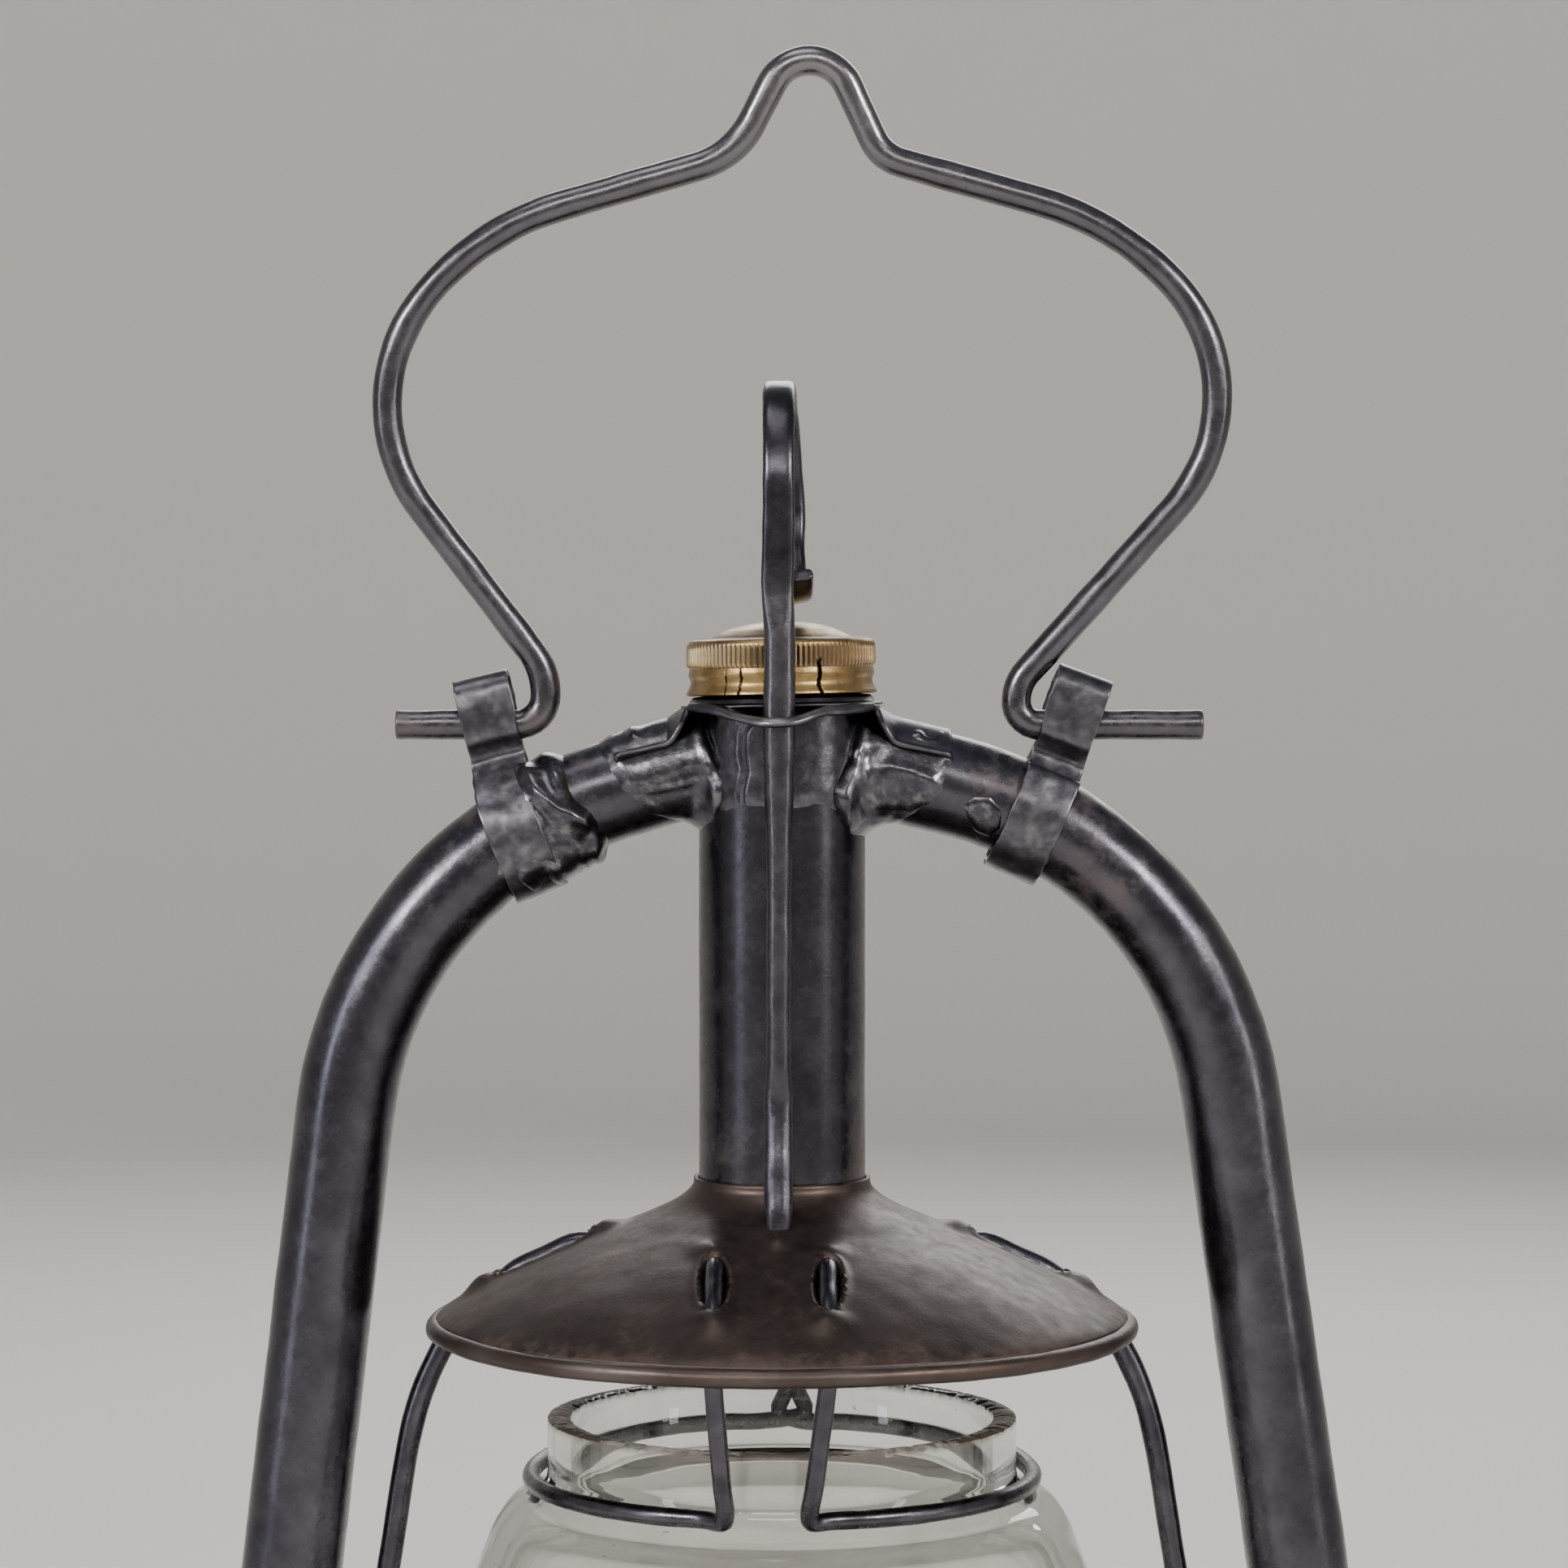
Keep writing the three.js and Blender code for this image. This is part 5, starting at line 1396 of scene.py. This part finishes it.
bm = spin(spaced(flowing([
    (19.5, 0, 66), (19.55, 0, 70), (18.5, 0, 76), (15.5, 0, 81.5), (11, 0, 85), (6, 0, 86.6), (0.001, 0, 87),
], 8), 0.7), 128)
for spot, way in (
    ((SLOT_X, 0, 0), (1, 0, 0)), ((-SLOT_X, 0, 0), (1, 0, 0)),
    ((0, SLOT_Y, 0), (0, 1, 0)), ((0, -SLOT_Y, 0), (0, 1, 0)),
):
    bmesh.ops.bisect_plane(
        bm, geom=list(bm.verts) + list(bm.edges) + list(bm.faces), plane_co=spot, plane_no=way, dist=0.0001,
    )
middles = [(f, f.calc_center_median()) for f in bm.faces]
slot_faces = [
    f for f, middle in middles if abs(middle.x) < SLOT_X and abs(middle.y) < SLOT_Y and middle.z > 80
]
bmesh.ops.delete(bm, geom=slot_faces, context="FACES")
bmesh.ops.recalc_face_normals(bm, faces=bm.faces)
bmesh.ops.solidify(bm, geom=list(bm.faces), thickness=0.6)
for k in range(4):
    angle = math.radians(45 + 90 * k)
    leg = sweep(
        [Vector((r * math.cos(angle), r * math.sin(angle), z)) for r, z in LEG_LINE],
        lambda d: (0.9, 0.9, 2.0), sides=16, tip=0.15,
    )
    joined = bpy.data.meshes.new("leg")
    leg.to_mesh(joined)
    leg.free()
    bm.from_mesh(joined)
    bpy.data.meshes.remove(joined)
piece(
    bm, "burner_dome", cap_brass, ["burner_cone"],
    wear_and_light_marks=lambda p: (0.45, 0.1, 0.55 * smoothstep(p[2], 80, 87)),
)


# %% Wick and its drive
bm = bmesh.new()
bmesh.ops.create_cube(bm, size=1.0)
bmesh.ops.scale(bm, vec=(1.6, 12.7, 76), verts=bm.verts)
bmesh.ops.translate(bm, verts=bm.verts, vec=(0, 0, 46))
bmesh.ops.bevel(bm, geom=list(bm.edges), offset=0.5, segments=3, profile=0.5, affect="EDGES", material=-1)
for z in np.arange(10, 84, 2.0):
    bmesh.ops.bisect_plane(
        bm, geom=list(bm.verts) + list(bm.edges) + list(bm.faces), plane_co=(0, 0, z), plane_no=(0, 0, 1),
        dist=0.0001,
    )
wick_piece = piece(bm, "wick_tape", cotton, ["wick"], sharp=60)

WHEEL_TEETH = 9
KNOB_SCALLOPS = 12
PIN = Matrix.Translation((SHAFT_X, 0, SHAFT_Z)) @ Matrix.Rotation(math.pi / 2, 4, "X")


def on_shaft(outline_points, steps, at_y, closed=True, round_off=0.15):
    """A part turned about the wick shaft. Its outline is [radius, distance forward of at_y]."""
    bm = spin(outline(outline_points, round_off, 0.8), steps, closed)
    bmesh.ops.transform(bm, matrix=Matrix.Translation((0, at_y, 0)) @ PIN, verts=bm.verts)
    return bm


bm = on_shaft([(0.001, -9), (1.2, -9), (1.2, 57), (0.001, 57)], 24, 0, closed=False, round_off=0.3)
piece(bm, "wick_shaft_rod", cap_brass, ["wick_shaft"], wear_and_light_marks=lambda p: (0.3, 0.1, 0))

bm = on_shaft([(1.5, 39.8), (3, 39.8), (3, 36.6), (5, 36.6), (5, 35.4), (1.5, 35.4)], 48, 0)
piece(bm, "shaft_bush_ring", cap_brass, ["shaft_bush"], wear_and_light_marks=lambda p: (0.3, 0, 0.1))

for word, at_y in (("front", -3.4), ("rear", 4.6)):
    bm = on_shaft([(1.5, 0), (3.5, 0), (3.5, 1.2), (1.5, 1.2)], 144, at_y)
    for v in bm.verts:
        arm = Vector((v.co.x - SHAFT_X, v.co.z - SHAFT_Z))
        if arm.length > 2.4:
            tooth = 0.5 + 0.5 * math.cos(WHEEL_TEETH * math.atan2(arm.y, arm.x))
            arm = arm * (1 - 0.27 * (1 - tooth) ** 0.8)
            v.co.x, v.co.z = SHAFT_X + arm.x, SHAFT_Z + arm.y
    piece(bm, f"spur_wheel_brass_{word}", cap_brass, [f"spur_wheel_{word}"], wear_and_light_marks=lambda p: (0.4, 0, 0.1))

bm = on_shaft([
    (1.5, 54.6), (3.2, 54.6), (4.2, 55.1), (6.6, 55.2), (7.3, 54.6), (8.7, 54.6), (8.7, 57), (7.3, 57),
    (6.6, 56.3), (3.6, 56.3), (2.8, 57), (1.5, 57),
], 240, 0, round_off=0.3)
for v in bm.verts:
    arm = Vector((v.co.x - SHAFT_X, v.co.z - SHAFT_Z))
    if arm.length > 7.0:
        scallop = 0.5 - 0.5 * math.cos(KNOB_SCALLOPS * math.atan2(arm.y, arm.x))
        arm = arm * (1 - 0.11 * scallop * smoothstep(arm.length, 7.0, 8.4))
        v.co.x, v.co.z = SHAFT_X + arm.x, SHAFT_Z + arm.y
piece(bm, "wick_knob_brass", cap_brass, ["wick_knob"], wear_and_light_marks=lambda p: (0.2, 0.35 * max(0, wobble(p, 3)), 0))

# %% [markdown]
# ## Tank, base, chamber and filler
# The tank is drawn and soldered sheet. The base plate is folded up round its foot, and the air chamber
# is a drum that spreads the air from the side tubes round the burner.
# All are spun from the outline of their sheet, a little uneven, with a bead of solder in the seam.

# %% Tank and base
def low_rust(p):
    reach = math.hypot(p[0], p[1])
    foot = 1 - smoothstep(p[2], 3, 14)
    seam = math.exp(-(((p[2] - 46) / 3) ** 2)) + math.exp(-(((p[2] - 52) / 3) ** 2)) * (reach < 48)
    return (0.12 + 0.3 * foot + 0.25 * seam, 0.0, 0.08)


bm = spin(outline([
    (0.001, 0), (70.5, 0), (71.6, 0.5), (72, 1.6), (72, 6), (71.2, 6), (71.2, 1.5), (0.001, 1.5),
], 0.3, 2.0), 220)
uneven(bm, 0.05, 14, seed=2)
piece(bm, "base_plate_sheet", tube_steel, ["base_plate"], wear_and_light_marks=low_rust)

tank_line = bent([
    (70.9, 0, 1.8, 0), (70.9, 0, 40, 1.2), (69.3, 0, 43, 1.5), (64.9, 0, 45.2, 4), (48, 0, 48, 20),
    (33, 0, 49.6, 10), (25, 0, 50, 0),
], 6)
bm = spin(spaced(tank_line, 1.3), 260)
for v in bm.verts:
    bead = 0.5 * math.exp(-(((v.co.z - 12) / 1.3) ** 2)) + 0.5 * math.exp(-(((v.co.z - 36) / 1.3) ** 2))
    reach = math.hypot(v.co.x, v.co.y)
    if reach > 70:
        v.co.x *= 1 + (bead - 0.55) / reach
        v.co.y *= 1 + (bead - 0.55) / reach
uneven(bm, 0.11, 17, seed=7)
filler = Vector((36.0, -42.0))
FILLER_HOLE = 9.3
ROUND_FILLER = 11.5
TANK_SHOULDER = 43


def faces_near_filler(reach):
    """Faces of the tank's top that are nearer to the filler than reach."""
    middles = [(f, f.calc_center_median()) for f in bm.faces]
    return [f for f, middle in middles if (middle.xy - filler).length < reach and middle.z > TANK_SHOULDER]


near_faces = faces_near_filler(ROUND_FILLER)
bmesh.ops.subdivide_edges(
    bm, edges=list({e for f in near_faces for e in f.edges}), cuts=2, use_grid_fill=True,
)
bmesh.ops.delete(bm, geom=faces_near_filler(FILLER_HOLE), context="FACES")
for v in bm.verts:
    away = v.co.xy - filler
    if v.is_boundary and away.length < ROUND_FILLER and v.co.z > TANK_SHOULDER:
        away = away.normalized() * FILLER_HOLE
        v.co.x, v.co.y = filler.x + away.x, filler.y + away.y
piece(bm, "oil_tank", tube_steel, ["tank_shell"], wear_and_light_marks=low_rust, wall=SHEET)

bm = spin(outline([
    (15.5, 52.6), (42, 52.6), (42, 74), (36, 74), (36, 73.2), (41.2, 73.2), (41.2, 53.4), (15.5, 53.4),
], 0.25, 1.4), 220, closed=True)


def chamber_seams(p):
    lower = 0.5 * math.exp(-(((p[2] - 55.5) / 0.9) ** 2))
    upper = 0.4 * math.exp(-(((p[2] - 71.5) / 0.9) ** 2))
    outside = math.hypot(p[0], p[1]) > 41.7
    return (lower + upper) * outside + 0.06 * wobble(p, 9, 3)


raise_surface(bm, chamber_seams)
piece(bm, "air_chamber_drum", tube_steel, ["air_chamber"], wear_and_light_marks=low_rust)

bm = spin(
    outline([(42.3, 51.1), (42.3, 52.6), (25.2, 52.6), (25.2, 51.4), (28.4, 51.4), (28.4, 50.6)], 0.3, 1.2),
    160, closed=True,
)
uneven(bm, 0.12, 3, seed=4)
piece(bm, "chamber_seam_solder", solder, body="frame", wear_and_light_marks=lambda p: (0.1, 0.1, 0.1))


# %% Filler
def at_filler(bm):
    bmesh.ops.translate(bm, verts=bm.verts, vec=(filler.x, filler.y, 0))
    return bm


bm = at_filler(spin(outline([(9, 38), (9, 54), (8.7, 55), (8, 55), (8, 38)], 0.15, 0.8), 72, closed=True))
piece(bm, "filler_neck_tube", tube_steel, ["filler_neck"], wear_and_light_marks=lambda p: (0.3, 0, 0.1))
bm = at_filler(spin(outline([(9, 55.3), (9, 56.2), (4, 56.2), (4, 55.3)], 0.1, 0.8), 64, closed=True))
piece(bm, "filler_seal", leather, ["filler_washer"])

FILLER_KNURLS = 84
bm = spin(spaced(flowing([
    (11.0, 0, 50.5), (11.15, 0, 51.2), (11.0, 0, 52), (11.1, 0, 52.6), (11.15, 0, 54), (11.15, 0, 56.4),
    (11.0, 0, 57.3), (10.2, 0, 57.9), (8.5, 0, 58.05), (5.2, 0, 58.2), (4.2, 0, 58.5), (3.7, 0, 59.6),
    (3.2, 0, 60.3), (1.6, 0, 60.6), (0.001, 0, 60.65),
], 5), 0.3), FILLER_KNURLS * 6)
for v in bm.verts:
    reach = math.hypot(v.co.x, v.co.y)
    band = smoothstep(v.co.z, 52.6, 53.2) * (1 - smoothstep(v.co.z, 56.6, 57.3)) * (reach > 9)
    inward = 0.25 * band * (0.5 + 0.5 * math.cos(FILLER_KNURLS * math.atan2(v.co.y, v.co.x)))
    if reach > 1:
        v.co.x *= 1 - inward / reach
        v.co.y *= 1 - inward / reach
uneven(bm, 0.04, 4, seed=2)
piece(
    at_filler(bm), "filler_cap_brass", cap_brass, ["filler_cap"], wear_and_light_marks=lambda p: (0.3, 0.1, 0.05), wall=0.7,
)

# %% [markdown]
# ## Floor, light and camera
# A plain pale bowl, flat under the lamp and curving up far away, is floor and backdrop in one, so no
# edge shows from any side. Seven soft boxes stand in for windows all round: three in front and above,
# one overhead, one at each side and one behind. Polished round metal shows them as soft streaks.

# %% Stage
def plain_paint(name, code):
    made = new_material(name)
    tree = made.node_tree
    shader = node(
        tree, "BsdfPrincipled", {"Base Color": colour(code), "Roughness": 0.9, "Specular IOR Level": 0.2},
    )
    node(tree, "OutputMaterial", {"Surface": shader.outputs[0]})
    return made


bowl_line = bent([(1, 0, 0, 0), (3200, 0, 0, 900), (3200, 0, 3200, 0)], 5)
bm = spin([(0.001, 0, 0)] + [tuple(p) for p in bowl_line], 96)
bmesh.ops.recalc_face_normals(bm, faces=bm.faces)
bmesh.ops.scale(bm, vec=(MM, MM, MM), verts=bm.verts)
bmesh.ops.translate(bm, verts=bm.verts, vec=(0, 0, -0.0002))
bowl_mesh = bpy.data.meshes.new("backdrop")
bm.to_mesh(bowl_mesh)
bm.free()
bowl_mesh.shade_smooth()
bowl_mesh.materials.append(plain_paint("pale_backdrop_paint", "e2dfdb"))
bowl = bpy.data.objects.new("backdrop", bowl_mesh)
scene.collection.objects.link(bowl)


def soft_box(name, at, target, size, watts, tint="ffffff"):
    lamp = bpy.data.lights.new(name, "AREA")
    lamp.shape = "RECTANGLE"
    lamp.size, lamp.size_y = size
    lamp.energy = watts
    lamp.color = colour(tint)[:3]
    made = bpy.data.objects.new(name, lamp)
    made.location = at
    made.rotation_euler = (Vector(target) - Vector(at)).to_track_quat("-Z", "Y").to_euler()
    made.visible_camera = False
    scene.collection.objects.link(made)


MIDDLE = (0, 0, 0.28)
soft_box("front_box", (-0.1, -1.45, 1.12), MIDDLE, (1.0, 0.24), 8, "fff9f2")
soft_box("high_left_box", (-1.1, -1.1, 1.05), MIDDLE, (0.36, 0.26), 19, "fff9f2")
soft_box("high_right_box", (1.1, -1.1, 1.05), MIDDLE, (0.36, 0.26), 18, "fff9f2")
soft_box("overhead_box", (-0.25, -0.35, 1.85), MIDDLE, (1.0, 0.6), 6, "fff9f2")
soft_box("left_box", (-1.6, -0.9, 0.7), MIDDLE, (0.2, 1.1), 6, "f4f6ff")
soft_box("right_box", (1.6, -0.8, 0.75), MIDDLE, (0.2, 1.1), 6, "fff6ee")
soft_box("back_box", (0.3, 1.7, 1.2), MIDDLE, (1.4, 0.7), 14)

world = bpy.data.worlds.new("studio")
world.use_nodes = True
background = world.node_tree.nodes["Background"]
background.inputs["Color"].default_value = colour("b9bcc4")
background.inputs["Strength"].default_value = 0.55
scene.world = world

lens = bpy.data.cameras.new("camera")
lens.lens = 100.6
lens.sensor_width = 36
lens.clip_start, lens.clip_end = 0.01, 50
camera = bpy.data.objects.new("camera", lens)
camera.location = (0.0003, -0.6585, 0.320)
camera.rotation_euler = (math.radians(90 - 1.443), 0, 0)
scene.collection.objects.link(camera)
scene.camera = camera
